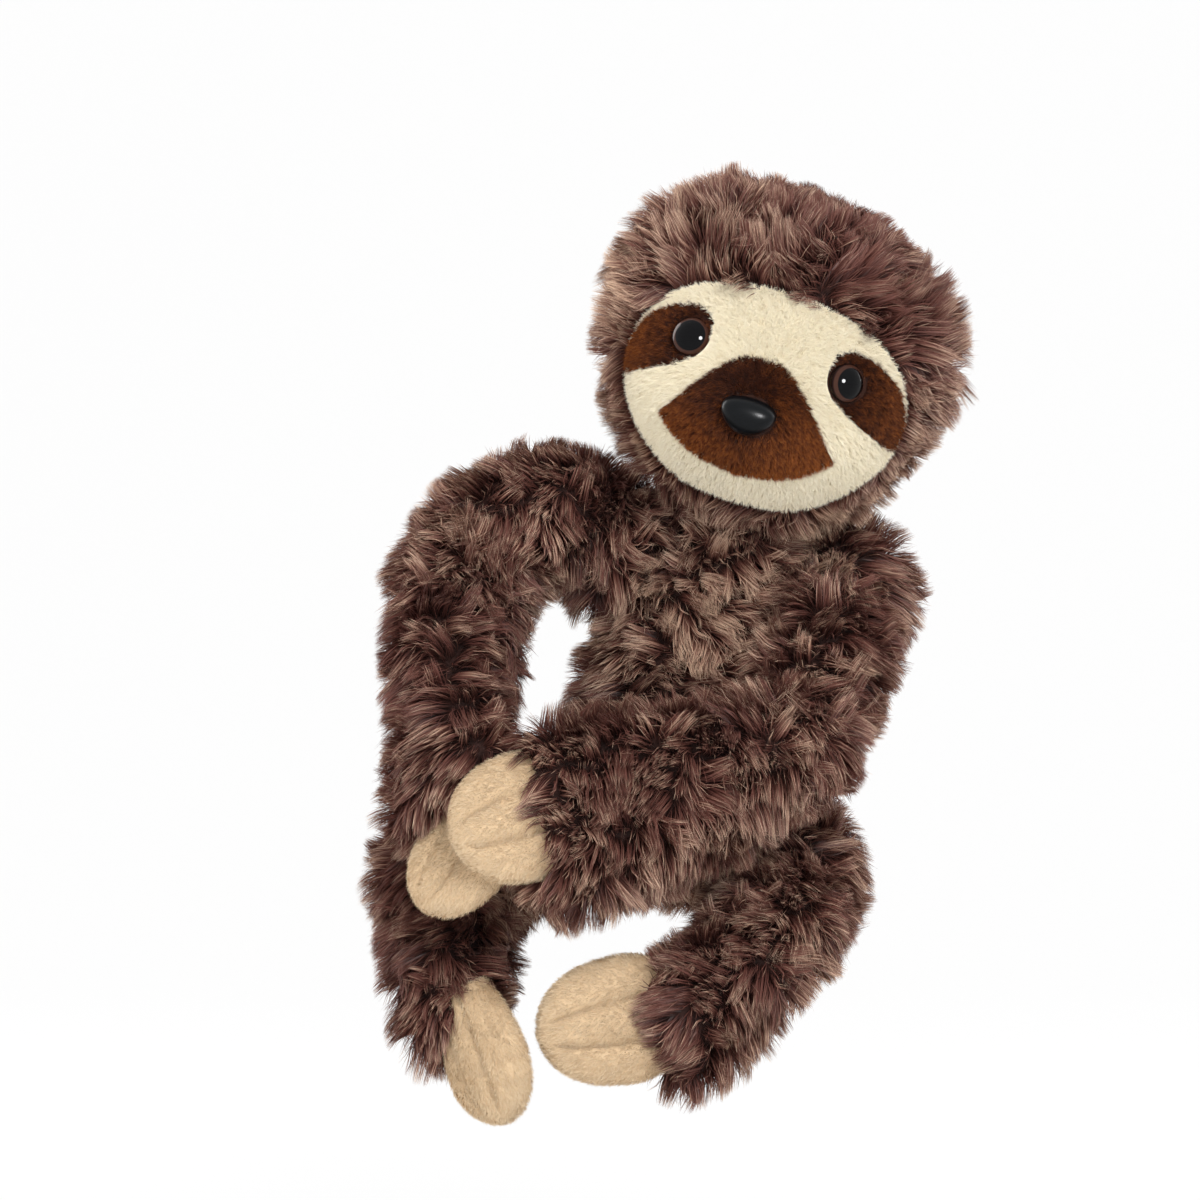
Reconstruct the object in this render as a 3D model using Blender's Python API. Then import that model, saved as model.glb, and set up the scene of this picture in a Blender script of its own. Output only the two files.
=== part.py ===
"""A plush sloth that hugs an upright pole: sewn skins, filling, minky face and paws, plastic eyes and nose.

Metres. +Z runs up the pole, -Y is the front, +X is the right as seen from the front. The origin lies on
the axis of the pole, level with the arms that cross in front of it.
"""

import math

import bmesh
import bpy
from mathutils import Matrix, Vector

# The pole that the sloth hugs, and the room between neighbouring pieces
POLE_DIAMETER = 0.035
GAP = 0.0003
FABRIC = 0.002

# Body: a pear that leans to the right, its belly against the pole
TORSO_LENGTH = 0.140
TORSO_HALF_WIDTH = 0.044
TORSO_HALF_DEPTH = 0.039
TORSO_BASE_X = 0.034
TORSO_BASE_Z = -0.037
TORSO_LEAN = math.radians(12)
TORSO_WIDTH_SHARES = (0.80, 0.98, 1.0, 0.92, 0.76, 0.58)
TORSO_DOME_SHARES = (0.24, 0.14)
NECK_BALL = 0.029
NECK_SHARE = 0.90
NECK_OPENING = 0.012

# Head: an egg with a snout, rolled to the right and turned a little to the left
HEAD_HALF_WIDTH = 0.057
HEAD_HALF_DEPTH = 0.052
HEAD_HALF_HEIGHT = 0.058
HEAD_OFFSET = (0.0148, -0.0185, 0.0640)
HEAD_ROLL = math.radians(17)
HEAD_TURN = math.radians(-5)
SNOUT_REACH = 0.013
SNOUT_HALF_WIDTH = 0.030
SNOUT_HALF_HEIGHT = 0.020
SNOUT_DROP = 0.024

# Outlines on the face, from the head's middle, in shares of its half width and half height.
# Each is the right half, top to bottom, mirrored to the left, and the eye patch is whole.
FACE_SHARES = (
    (0, 0.355),
    (0.45, 0.29),
    (0.74, 0.13),
    (0.87, -0.10),
    (0.84, -0.40),
    (0.65, -0.66),
    (0.36, -0.86),
    (0, -0.91),
)
MUZZLE_TOP_SHARES = ((0, -0.07), (0.12, -0.09), (0.29, -0.23), (0.42, -0.39), (0.53, -0.51))
MUZZLE_BOTTOM_SHARES = ((0.53, -0.51), (0.41, -0.61), (0.24, -0.69), (0, -0.73))
EYE_PATCH_SHARES = (
    (0.37, 0.03),
    (0.42, 0.11),
    (0.54, 0.12),
    (0.67, 0.06),
    (0.79, -0.06),
    (0.845, -0.20),
    (0.80, -0.35),
    (0.67, -0.30),
    (0.49, -0.21),
    (0.385, -0.10),
)
OUTLINE_STEPS = 2

# Eyes and nose: domes on posts, each held by a washer behind the fabric
EYE_DIAMETER = 0.0135
EYE_HEIGHT = 0.0045
EYE_SPREAD = 0.0268
EYE_DROP = 0.0035
NOSE_WIDTH = 0.018
NOSE_HEIGHT = 0.0125
NOSE_DEPTH = 0.007
NOSE_DROP = 0.0235
NOSE_TOP_SHARE = 0.25
POST_DIAMETER = 0.005
POST_LENGTH = 0.0095
WASHER_DIAMETER = 0.015
WASHER_THICKNESS = 0.0015
EYE_SEAT_CURVE_SHARE = 1.5

# Arms and legs: a ball at the root, a ball at the bend, and a sleeve that ends at the paw
SHOULDER_BALL = 0.022
ELBOW_BALL = 0.0245
HIP_BALL = 0.023
KNEE_BALL = 0.0255
ROOT_OPENING = 0.009
SWING_ROOM = 0.0022
SHOULDER_SHARE = 0.83
SHOULDER_SPREAD_SHARE = 0.84
HIP_SHARE = 0.20
HIP_SPREAD_SHARE = 0.68
HIP_FORWARD = 0.007
UPPER_ARM_RADII = (0.0175, 0.0235, 0.0235)
FOREARM_RADII = (0.0235, 0.0310, 0.0345)
FOREARM_DEPTHS = (0.0235, 0.0200, 0.0200)
THIGH_RADII = (0.0185, 0.0235, 0.0245)
SHIN_RADII = (0.0245, 0.0260, 0.0265)
SHIN_DEPTHS = (0.0245, 0.0215, 0.0200)
SLEEVE_DOME_SHARE = 0.22

# Places round the pole, from its axis
ELBOW_LEFT = (0.0810, 0, 0.0170)
WRIST_LEFT = (-0.0061, -0.0431, -0.0030)
ELBOW_RIGHT = (-0.0386, 0.0302, 0.0830)
WRIST_RIGHT = (-0.0339, -0.0265, -0.0060)
KNEE_LEFT = (0.0746, 0.0078, -0.0430)
ANKLE_LEFT = (0.0303, -0.0254, -0.0790)
KNEE_RIGHT = (-0.0390, 0.0244, -0.0310)
ANKLE_RIGHT = (-0.0388, -0.0097, -0.0910)
UPPER_ARM_BOW = 0.004
FOREARM_BOWS = {"left": 0.006, "right": 0.007}
THIGH_BOW = 0.006
SHIN_BOW = 0.005

# Paws: flat three-fingered mittens, from inside the sleeve to the finger tips
PAW_HALF_WIDTH = 0.0205
PAW_HALF_THICKNESS = 0.0060
PAW_WIDTH_SHARES = (0.90, 1.0, 0.97, 0.86)
PAW_DOME_SHARE = 0.40
PAW_GROOVE_SHARE = 0.30
FINGERS = 3
PAW_SLIDE_ROOM = 0.0015
HAND_ROOT_LEFT = (-0.0035, -0.0504, -0.0030)
HAND_TIP_LEFT = (-0.0385, -0.0530, -0.0130)
HAND_ROOT_RIGHT = (-0.0278, -0.0288, 0)
HAND_TIP_RIGHT = (-0.0423, -0.0367, -0.0370)
FOOT_ROOT_LEFT = (0.0299, -0.0217, -0.0730)
FOOT_TIP_LEFT = (-0.0064, -0.0257, -0.0780)
FOOT_ROOT_RIGHT = (-0.0300, -0.0160, -0.0600)
FOOT_TIP_RIGHT = (-0.0172, -0.0221, -0.1090)

# Facets
LIMB_SIDES = 10
LIMB_STEPS = 5
TORSO_SIDES = 16
TORSO_STEPS = 8
BALL_SIDES = 12
BALL_RINGS = 6
HEAD_SIDES = 24
HEAD_RINGS = 13
PAW_SIDES = 18
PAW_STEPS = 6
POST_SIDES = 8
DOME_SIDES = 12
DOME_RINGS = 8
HEAD_RING_CROWDING = 1.25
SAMPLE_SHARE = 0.01
SHARP_ANGLE = math.radians(40)

FUR_BROWN = ((0.075, 0.042, 0.036), 0.9)
MINKY_BROWN = ((0.14, 0.045, 0.012), 0.85)
CREAM = ((0.80, 0.70, 0.52), 0.9)
BEIGE = ((0.71, 0.50, 0.29), 0.9)
FIBRE_WHITE = ((0.85, 0.85, 0.83), 0.95)
EYE_BROWN = ((0.06, 0.022, 0.008), 0.08)
NOSE_BLACK = ((0.008, 0.008, 0.009), 0.3)
WASHER_WHITE = ((0.75, 0.75, 0.72), 0.45)

POLE_RADIUS = POLE_DIAMETER / 2
FILLING_INSET = FABRIC + GAP
UP = Vector((0, 0, 1))
FRONT = Vector((0, -1, 0))


def clear_scene():
    for obj in list(bpy.data.objects):
        bpy.data.objects.remove(obj, do_unlink=True)


def material(name, look):
    colour, roughness = look
    made = bpy.data.materials.get(name) or bpy.data.materials.new(name)
    made.use_nodes = True
    shader = made.node_tree.nodes["Principled BSDF"]
    shader.inputs["Base Color"].default_value = (*colour, 1)
    shader.inputs["Roughness"].default_value = roughness
    shader.inputs["Metallic"].default_value = 0
    made.diffuse_color = (*colour, 1)
    return made


def solid(name, build):
    """An object in the scene from a bmesh that build fills."""
    mesh = bpy.data.meshes.new(name)
    shape = bmesh.new()
    build(shape)
    bmesh.ops.recalc_face_normals(shape, faces=shape.faces)
    shape.to_mesh(mesh)
    shape.free()
    obj = bpy.data.objects.new(name, mesh)
    bpy.context.collection.objects.link(obj)
    return obj


def combine(base, tool, operation):
    """The base cut by, joined with or kept inside the tool, which is used up."""
    step = base.modifiers.new("Boolean", "BOOLEAN")
    step.operation = operation
    step.solver = "EXACT"
    step.object = tool
    graph = bpy.context.evaluated_depsgraph_get()
    mesh = bpy.data.meshes.new_from_object(base.evaluated_get(graph))
    base.modifiers.clear()
    base.data = mesh
    bpy.data.objects.remove(tool, do_unlink=True)
    return base


def cut(base, *tools):
    for tool in tools:
        combine(base, tool, "DIFFERENCE")
    return base


def largest(obj):
    """The object with only its largest piece kept, once cuts have left loose scraps."""
    shape = bmesh.new()
    shape.from_mesh(obj.data)
    waiting = set(shape.verts)
    pieces = []
    while waiting:
        piece = {waiting.pop()}
        edge = list(piece)
        while edge:
            near = [link.other_vert(vert) for vert in edge for link in vert.link_edges]
            edge = [vert for vert in set(near) if vert not in piece]
            piece.update(edge)
        waiting -= piece
        pieces.append(piece)
    pieces.sort(key=len)
    for piece in pieces[:-1]:
        bmesh.ops.delete(shape, geom=list(piece), context="VERTS")
    shape.to_mesh(obj.data)
    shape.free()
    return obj


def smooth_value(values, share):
    """The value at a share of the way along a smooth curve through the values."""
    place = share * (len(values) - 1)
    index = min(int(place), len(values) - 2)
    part = place - index
    before = values[max(index - 1, 0)]
    first = values[index]
    second = values[index + 1]
    after = values[min(index + 2, len(values) - 1)]
    slope_in = (second - before) / 2
    slope_out = (after - first) / 2
    rise = second - first
    return (
        first
        + slope_in * part
        + (3 * rise - 2 * slope_in - slope_out) * part**2
        + (slope_in + slope_out - 2 * rise) * part**3
    )


def away_from_pole(point):
    return Vector((point.x, point.y, 0)).normalized()


def bow_path(start, end, bow):
    """A curve from start to end, its middle pushed away from the pole by half the bow."""
    middle = (start + end) / 2
    middle += away_from_pole(middle) * bow

    def path(share):
        return start * (1 - share) ** 2 + middle * 2 * share * (1 - share) + end * share**2

    return path


def dome_factor(share, start_dome, end_dome):
    factor = 1
    if start_dome and share < start_dome:
        factor *= math.sqrt(1 - (1 - share / start_dome) ** 2)
    if end_dome and share > 1 - end_dome:
        factor *= math.sqrt(1 - ((share - 1 + end_dome) / end_dome) ** 2)
    return factor


def end_shift(share, start_dome, end_dome):
    """How much of a growth moves a ring along the sweep: none in the middle, all of it at an end."""
    if share < start_dome:
        return share / start_dome - 1
    if share > 1 - end_dome:
        return (share - 1 + end_dome) / end_dome
    return {0: -1, 1: 1}.get(share, 0)


def stations(steps, start_dome, end_dome):
    """Shares along a sweep, closer together where it rounds off at a domed end."""
    shares = []
    for step in range(steps + 1):
        share = step / steps
        if start_dome and end_dome:
            share = (1 - math.cos(math.pi * share)) / 2
        elif end_dome:
            share = math.sin(math.pi / 2 * share)
        shares.append(share)
    return shares


def join_rings(shape, low, high):
    """Triangles between two rings, split the same way on every copy so that copies stay parallel."""
    for side, corner in enumerate(low):
        after = (side + 1) % len(low)
        shape.faces.new((corner, low[after], high[after]))
        shape.faces.new((corner, high[after], high[side]))


def sweep(name, path, section, facing, steps, sides, start_dome=0, end_dome=0, grow=0):
    """A closed tube along the path. section(share, turn) gives the offsets across and outwards."""

    def build(shape):
        rings = []
        ends = []
        for share in stations(steps, start_dome, end_dome):
            centre = path(share)
            before = path(max(share - SAMPLE_SHARE, 0))
            tangent = (path(min(share + SAMPLE_SHARE, 1)) - before).normalized()
            outward = facing(centre)
            outward = (outward - tangent * outward.dot(tangent)).normalized()
            across = tangent.cross(outward)
            factor = dome_factor(share, start_dome, end_dome)
            centre = centre + tangent * grow * end_shift(share, start_dome, end_dome)
            if factor == 0:
                ends.append((len(rings), shape.verts.new(centre)))
                continue
            ring = []
            for side in range(sides):
                wide, deep = section(share, 2 * math.pi * side / sides)
                offset = (across * wide + outward * deep) * factor
                ring.append(shape.verts.new(centre + offset))
            rings.append(ring)
        for low, high in zip(rings, rings[1:]):
            join_rings(shape, low, high)
        closed = {index for index, tip in ends}
        for index, tip in ends:
            ring = rings[0] if index == 0 else rings[-1]
            for side in range(sides):
                shape.faces.new((tip, ring[side], ring[(side + 1) % sides]))
        if 0 not in closed:
            shape.faces.new(rings[0])
        if len(rings) not in closed:
            shape.faces.new(rings[-1])

    return solid(name, build)


def ball(name, centre, radius, axis=UP, spin=0):
    """A ball whose rings run round the axis that it turns on."""
    turn = axis.to_track_quat("Z", "Y").to_matrix().to_4x4() @ Matrix.Rotation(spin, 4, "Z")

    def build(shape):
        bmesh.ops.create_uvsphere(
            shape,
            u_segments=BALL_SIDES,
            v_segments=BALL_RINGS,
            radius=radius,
            matrix=Matrix.Translation(centre) @ turn,
        )

    return solid(name, build)


def cup(name, centre, radius, axis=UP, inset=0):
    """The cutter for a seat round a ball: the middles of its facets clear the ball's corners by the gap."""
    half_facet = math.pi / BALL_SIDES
    return ball(name, centre, (radius + GAP + inset) / math.cos(half_facet), axis, half_facet)


def rod(name, start, end, radius):
    """A round bar between two points."""
    along = end - start
    turn = along.to_track_quat("Z", "Y").to_matrix().to_4x4()

    def build(shape):
        bmesh.ops.create_cone(
            shape,
            cap_ends=True,
            segments=POST_SIDES,
            radius1=radius,
            radius2=radius,
            depth=along.length,
            matrix=Matrix.Translation((start + end) / 2) @ turn,
        )

    return solid(name, build)


TORSO_Y = POLE_RADIUS + GAP + TORSO_HALF_DEPTH
TORSO_UP = Vector((math.sin(TORSO_LEAN), 0, math.cos(TORSO_LEAN)))
TORSO_SIDE = Vector((math.cos(TORSO_LEAN), 0, -math.sin(TORSO_LEAN)))
TORSO_BASE = Vector((TORSO_BASE_X, TORSO_Y, TORSO_BASE_Z))


def torso_path(share):
    return TORSO_BASE + TORSO_UP * TORSO_LENGTH * share


NECK = torso_path(NECK_SHARE)


def limb_root(along_share, spread_share, side, forward=0):
    spread = TORSO_SIDE * side * TORSO_HALF_WIDTH * spread_share
    return torso_path(along_share) + spread + FRONT * forward


def limb_plan():
    """Every arm and leg: its names, joints and sizes."""
    plan = []
    for side, sign in (("left", 1), ("right", -1)):
        arm = {
            "side": side,
            "upper": "upper_arm",
            "lower": "forearm",
            "paw": "hand",
            "root_joint": "shoulder",
            "bend_joint": "elbow",
            "root": limb_root(SHOULDER_SHARE, SHOULDER_SPREAD_SHARE, sign),
            "bend": Vector({"left": ELBOW_LEFT, "right": ELBOW_RIGHT}[side]),
            "end": Vector({"left": WRIST_LEFT, "right": WRIST_RIGHT}[side]),
            "paw_root": Vector({"left": HAND_ROOT_LEFT, "right": HAND_ROOT_RIGHT}[side]),
            "paw_tip": Vector({"left": HAND_TIP_LEFT, "right": HAND_TIP_RIGHT}[side]),
            "root_ball": SHOULDER_BALL,
            "bend_ball": ELBOW_BALL,
            "upper_sizes": (UPPER_ARM_RADII, UPPER_ARM_RADII),
            "lower_sizes": (FOREARM_RADII, FOREARM_DEPTHS),
            "bows": (UPPER_ARM_BOW, FOREARM_BOWS[side]),
            "axis": UP * sign,
        }
        leg = {
            "side": side,
            "upper": "thigh",
            "lower": "shin",
            "paw": "foot",
            "root_joint": "hip",
            "bend_joint": "knee",
            "root": limb_root(HIP_SHARE, HIP_SPREAD_SHARE, sign, HIP_FORWARD),
            "bend": Vector({"left": KNEE_LEFT, "right": KNEE_RIGHT}[side]),
            "end": Vector({"left": ANKLE_LEFT, "right": ANKLE_RIGHT}[side]),
            "paw_root": Vector({"left": FOOT_ROOT_LEFT, "right": FOOT_ROOT_RIGHT}[side]),
            "paw_tip": Vector({"left": FOOT_TIP_LEFT, "right": FOOT_TIP_RIGHT}[side]),
            "root_ball": HIP_BALL,
            "bend_ball": KNEE_BALL,
            "upper_sizes": (THIGH_RADII, THIGH_RADII),
            "lower_sizes": (SHIN_RADII, SHIN_DEPTHS),
            "bows": (THIGH_BOW, SHIN_BOW),
            "axis": UP * sign,
        }
        plan += [arm, leg]
    return plan


def torso_form(grow):
    """The pear of the body with the ball of the neck on top."""

    def section(share, turn):
        size = smooth_value(TORSO_WIDTH_SHARES, share)
        wide = (TORSO_HALF_WIDTH * size + grow) * math.cos(turn)
        deep = (TORSO_HALF_DEPTH * size + grow) * math.sin(turn)
        return wide, deep

    pear = sweep(
        "torso",
        torso_path,
        section,
        lambda point: -FRONT,
        TORSO_STEPS,
        TORSO_SIDES,
        start_dome=TORSO_DOME_SHARES[0],
        end_dome=TORSO_DOME_SHARES[1],
        grow=grow,
    )
    return combine(pear, ball("neck", NECK, NECK_BALL + grow, TORSO_UP), "UNION")


def torso_solid(limbs, inset):
    """The body cut out where each limb's root ball sits in it."""
    form = torso_form(-inset)
    for limb in limbs:
        cut(form, cup("seat", limb["root"], limb["root_ball"], limb["axis"], inset))
    return form


def tube(limb, part, grow):
    """The plain sleeve of an upper or lower limb, before anything is cut from it."""
    upper = part == "upper"
    start = limb["root"] if upper else limb["bend"]
    end = limb["bend"] if upper else limb["end"]
    widths, depths = limb[part + "_sizes"]

    def section(share, turn):
        wide = (smooth_value(widths, share) + grow) * math.cos(turn)
        deep = (smooth_value(depths, share) + grow) * math.sin(turn)
        return wide, deep

    return sweep(
        limb[part],
        bow_path(start, end, limb["bows"][0 if upper else 1]),
        section,
        away_from_pole,
        LIMB_STEPS,
        LIMB_SIDES,
        end_dome=0 if upper else SLEEVE_DOME_SHARE,
        grow=grow,
    )


def upper_solid(limb, inset):
    """A root ball and its sleeve, clear of the body and hollowed where the bend's ball sits."""
    form = tube(limb, "upper", -inset)
    largest(cut(form, torso_form(SWING_ROOM + inset)))
    combine(form, ball("root", limb["root"], limb["root_ball"] - inset, limb["axis"]), "UNION")
    return largest(cut(form, cup("seat", limb["bend"], limb["bend_ball"], limb["axis"], inset)))


def lower_solid(limb, opposite, inset):
    """A bend ball and its sleeve, clear of the upper sleeve, the body and the limb that it crosses."""
    form = tube(limb, "lower", -inset)
    cut(form, tube(limb, "upper", SWING_ROOM + inset), torso_form(SWING_ROOM + inset))
    if limb["side"] == "right":
        cut(form, tube(opposite, "lower", GAP + inset))
    bend = ball("bend", limb["bend"], limb["bend_ball"] - inset, limb["axis"])
    return largest(combine(largest(form), bend, "UNION"))


def paw_form(limb, grow):
    """A flat mitten whose back and palm are drawn in along the seams between the fingers."""

    def section(share, turn):
        across = math.cos(turn)
        seam = abs(math.sin(math.pi * FINGERS * (across + 1) / 2))
        drawn = 1 - PAW_GROOVE_SHARE * min(1, 2 * share) * (1 - seam)
        edge = 1 if abs(across) > 1 - 1 / FINGERS else drawn
        wide = (PAW_HALF_WIDTH * smooth_value(PAW_WIDTH_SHARES, share) + grow) * across
        deep = (PAW_HALF_THICKNESS * edge + grow) * math.sin(turn)
        return wide, deep

    return sweep(
        limb["paw"],
        bow_path(limb["paw_root"], limb["paw_tip"], 0),
        section,
        away_from_pole,
        PAW_STEPS,
        PAW_SIDES,
        end_dome=PAW_DOME_SHARE,
        grow=grow,
    )


def paw_solid(limb, opposite):
    """A paw that starts at the end of its own sleeve and lies against what it touches."""
    form = paw_form(limb, 0)
    cut(form, tube(limb, "lower", GAP))
    cut(form, tube(opposite, "lower", GAP))
    if limb["side"] == "right":
        cut(form, paw_form(opposite, PAW_SLIDE_ROOM))
    return form


# The head and all that is on it are built round the head's middle, and then moved by this frame
HEAD_FRAME = (
    Matrix.Translation(NECK + Vector(HEAD_OFFSET))
    @ Matrix.Rotation(HEAD_ROLL, 4, "Y")
    @ Matrix.Rotation(HEAD_TURN, 4, "Z")
)


def snout_bulge(x, z):
    across = x / SNOUT_HALF_WIDTH
    upward = (z + SNOUT_DROP) / SNOUT_HALF_HEIGHT
    return SNOUT_REACH * math.exp(-(across**2) - upward**2)


def face_point(x, z):
    """The point of the head's front at this width and height."""
    left = 1 - (x / HEAD_HALF_WIDTH) ** 2 - (z / HEAD_HALF_HEIGHT) ** 2
    return Vector((x, -HEAD_HALF_DEPTH * math.sqrt(max(left, 0)) - snout_bulge(x, z), z))


def face_normal(x, z):
    step = FABRIC
    across = face_point(x + step, z) - face_point(x - step, z)
    upward = face_point(x, z + step) - face_point(x, z - step)
    return across.cross(upward).normalized()


def head_form(grow):
    """The egg of the head with its snout, in rings round the middle of the face."""

    def build(shape):
        rings = []
        for index in range(1, HEAD_RINGS):
            tilt = math.pi * (index / HEAD_RINGS) ** HEAD_RING_CROWDING
            ring = []
            for side in range(HEAD_SIDES):
                turn = 2 * math.pi * side / HEAD_SIDES
                wide = math.sin(tilt) * math.cos(turn)
                high = math.sin(tilt) * math.sin(turn)
                ring.append(shape.verts.new(head_point(Vector((wide, -math.cos(tilt), high)), grow)))
            rings.append(ring)
        for low, high in zip(rings, rings[1:]):
            join_rings(shape, low, high)
        for unit, ring in ((FRONT, rings[0]), (-FRONT, rings[-1])):
            tip = shape.verts.new(head_point(unit, grow))
            for side in range(HEAD_SIDES):
                shape.faces.new((tip, ring[side], ring[(side + 1) % HEAD_SIDES]))

    return solid("head", build)


def head_point(unit, grow):
    sizes = (HEAD_HALF_WIDTH, HEAD_HALF_DEPTH, HEAD_HALF_HEIGHT)
    point = Vector(part * size for part, size in zip(unit, sizes))
    normal = Vector(part / size for part, size in zip(unit, sizes)).normalized()
    if unit.y < 0:
        point.y -= snout_bulge(point.x, point.z)
    return point + normal * grow


def head_solid(inset):
    back = HEAD_FRAME.inverted()
    return cut(head_form(-inset), cup("seat", back @ NECK, NECK_BALL, back.to_3x3() @ TORSO_UP, inset))


def rounded(points, closed):
    """Points along a smooth curve through an outline's points."""
    count = len(points)
    curve = []
    for index in range(count if closed else count - 1):
        near = range(index - 1, index + 3)
        around = [points[place % count if closed else min(max(place, 0), count - 1)] for place in near]
        for part in range(OUTLINE_STEPS):
            share = (1 + part / OUTLINE_STEPS) / 3
            curve.append(tuple(smooth_value([corner[axis] for corner in around], share) for axis in (0, 1)))
    return curve if closed else curve + [points[-1]]


def mirrored(half):
    """A whole outline from its right half, which starts and ends on the middle line."""
    return half + [(-x, z) for x, z in reversed(half[1:-1])]


def face_outline():
    return mirrored(rounded(FACE_SHARES, False))


def muzzle_outline():
    return mirrored(rounded(MUZZLE_TOP_SHARES, False)[:-1] + rounded(MUZZLE_BOTTOM_SHARES, False))


def patch_outline(sign):
    return [(sign * x, z) for x, z in rounded(EYE_PATCH_SHARES, True)]


def prism(name, outline, grow):
    """The outline, let out by grow, drawn through the front half of the head."""

    def build(shape):
        flat = [Vector((x * HEAD_HALF_WIDTH, 0, z * HEAD_HALF_HEIGHT)) for x, z in outline]
        area = sum(a.x * b.z - b.x * a.z for a, b in zip(flat, flat[1:] + flat[:1]))
        out = math.copysign(grow, area)
        points = []
        for index, point in enumerate(flat):
            along = (flat[(index + 1) % len(flat)] - flat[index - 1]).normalized()
            points.append(point + Vector((along.z, 0, -along.x)) * out)
        reach = FRONT * (HEAD_HALF_DEPTH + 2 * SNOUT_REACH)
        near = [shape.verts.new(point) for point in points]
        far = [shape.verts.new(point + reach) for point in points]
        join_rings(shape, near, far)
        shape.faces.new(near)
        shape.faces.new(far)

    return solid(name, build)


def shell_piece(name, outline, *holes):
    """The part of the head's fabric inside an outline, less the holes."""
    piece = cut(head_form(0), head_form(-FABRIC))
    combine(piece, prism("outline", outline, 0), "INTERSECT")
    cut(piece, *holes)
    piece.name = name
    return piece


def post_places():
    """Where each post goes through the face: its name, width and height."""
    return (
        ("eye_left", EYE_SPREAD, -EYE_DROP),
        ("eye_right", -EYE_SPREAD, -EYE_DROP),
        ("nose", 0, -NOSE_DROP),
    )


def post_rod(x, z, grow, reach=1):
    """The post's own rod, or a hole round it, from just outside the fabric inwards."""
    outer = face_point(x, z) + face_normal(x, z) * EYE_HEIGHT / 2
    inner = face_point(x, z) - face_normal(x, z) * POST_LENGTH * reach
    return rod("post", outer, inner, POST_DIAMETER / 2 + grow)


def washer_rod(x, z, radius, grow):
    """A disc square to the post, behind the fabric's inner side."""
    normal = face_normal(x, z)
    curve = SNOUT_HALF_HEIGHT if x == 0 else EYE_SEAT_CURVE_SHARE * HEAD_HALF_DEPTH
    seat = FABRIC + GAP + (WASHER_DIAMETER / 2) ** 2 / curve
    outer = face_point(x, z) - normal * (seat - grow)
    inner = face_point(x, z) - normal * (seat + WASHER_THICKNESS + grow)
    return rod("washer", outer, inner, radius + grow)


def dome(name, x, z, half_width, height, half_height, top_heavy):
    """A rounded cap on the face, its back following the fabric, with its post."""
    normal = face_normal(x, z)
    side = normal.cross(UP).normalized() * -1
    upward = side.cross(normal) * -1

    def build(shape):
        rings = []
        for index in range(1, DOME_RINGS):
            tilt = math.pi * index / DOME_RINGS
            ring = []
            for step in range(DOME_SIDES):
                turn = 2 * math.pi * step / DOME_SIDES
                lift = math.sin(tilt) * math.sin(turn)
                wide = half_width * math.sin(tilt) * math.cos(turn) * (1 + top_heavy * lift)
                point = side * wide + upward * half_height * lift + normal * height * math.cos(tilt)
                ring.append(shape.verts.new(face_point(x, z) + point))
            rings.append(ring)
        for low, high in zip(rings, rings[1:]):
            join_rings(shape, low, high)
        for sign, ring in ((1, rings[0]), (-1, rings[-1])):
            tip = shape.verts.new(face_point(x, z) + normal * height * sign)
            for step in range(DOME_SIDES):
                shape.faces.new((tip, ring[step], ring[(step + 1) % DOME_SIDES]))

    cap = cut(solid(name, build), head_form(GAP))
    combine(cap, post_rod(x, z, 0), "UNION")
    cap.name = name
    return cap


def dress(obj, look):
    obj.data.materials.clear()
    obj.data.materials.append(look)
    obj.data.shade_smooth()
    obj.data.set_sharp_from_angle(angle=SHARP_ANGLE)


def stuffed(name, side, make, opening, fur, fibre):
    """A fabric skin round its filling, open at one place where the filling went in."""
    skin = make(0)
    cut(skin, make(FABRIC), opening)
    skin.name = name + "_skin" + side
    filling = make(FILLING_INSET)
    filling.name = name + "_filling" + side
    dress(skin, fur)
    dress(filling, fibre)
    return skin, filling


def make_torso(limbs, fur, fibre):
    opening = rod("opening", NECK, NECK + TORSO_UP * NECK_BALL * 2, NECK_OPENING)
    return stuffed("torso", "", lambda inset: torso_solid(limbs, inset), opening, fur, fibre)


def make_sleeve(limb, part, opposite, fur, fibre):
    """The skin and filling of an upper or lower limb, open inside the ball at its root."""
    centre = limb["root" if part == "upper" else "bend"]
    towards = NECK if part == "upper" else limb["root"]
    radius = limb["root_ball" if part == "upper" else "bend_ball"]
    opening = rod("opening", centre, centre + (towards - centre).normalized() * radius * 2, ROOT_OPENING)

    def make(inset):
        return upper_solid(limb, inset) if part == "upper" else lower_solid(limb, opposite, inset)

    return stuffed(limb[part], "_" + limb["side"], make, opening, fur, fibre)


def make_paw(limb, opposite, beige):
    paw = paw_solid(limb, opposite)
    paw.name = limb["paw"] + "_" + limb["side"]
    dress(paw, beige)
    return paw


def make_head(fur, fibre):
    posts = [place[1:] for place in post_places()]
    skin = cut(head_solid(0), head_solid(FABRIC), prism("face", face_outline(), GAP))
    skin.name = "head_skin"
    dress(skin, fur)
    filling = head_solid(FILLING_INSET)
    for x, z in posts:
        cut(filling, washer_rod(x, z, WASHER_DIAMETER / 2, GAP), post_rod(x, z, GAP, 1 + GAP / POST_LENGTH))
    filling.name = "head_filling"
    dress(filling, fibre)
    return [skin, filling]


def make_face(cream, brown):
    outlines = {
        "muzzle_patch": muzzle_outline(),
        "eye_patch_left": patch_outline(1),
        "eye_patch_right": patch_outline(-1),
    }
    holes = [prism("hole", outline, GAP) for outline in outlines.values()]
    pieces = [shell_piece("face_panel", face_outline(), *holes)]
    dress(pieces[0], cream)
    for name, x, z in post_places():
        patch_name = name.replace("eye", "eye_patch").replace("nose", "muzzle_patch")
        patch = shell_piece(patch_name, outlines[patch_name], post_rod(x, z, GAP))
        dress(patch, brown)
        pieces.append(patch)
    return pieces


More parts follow.
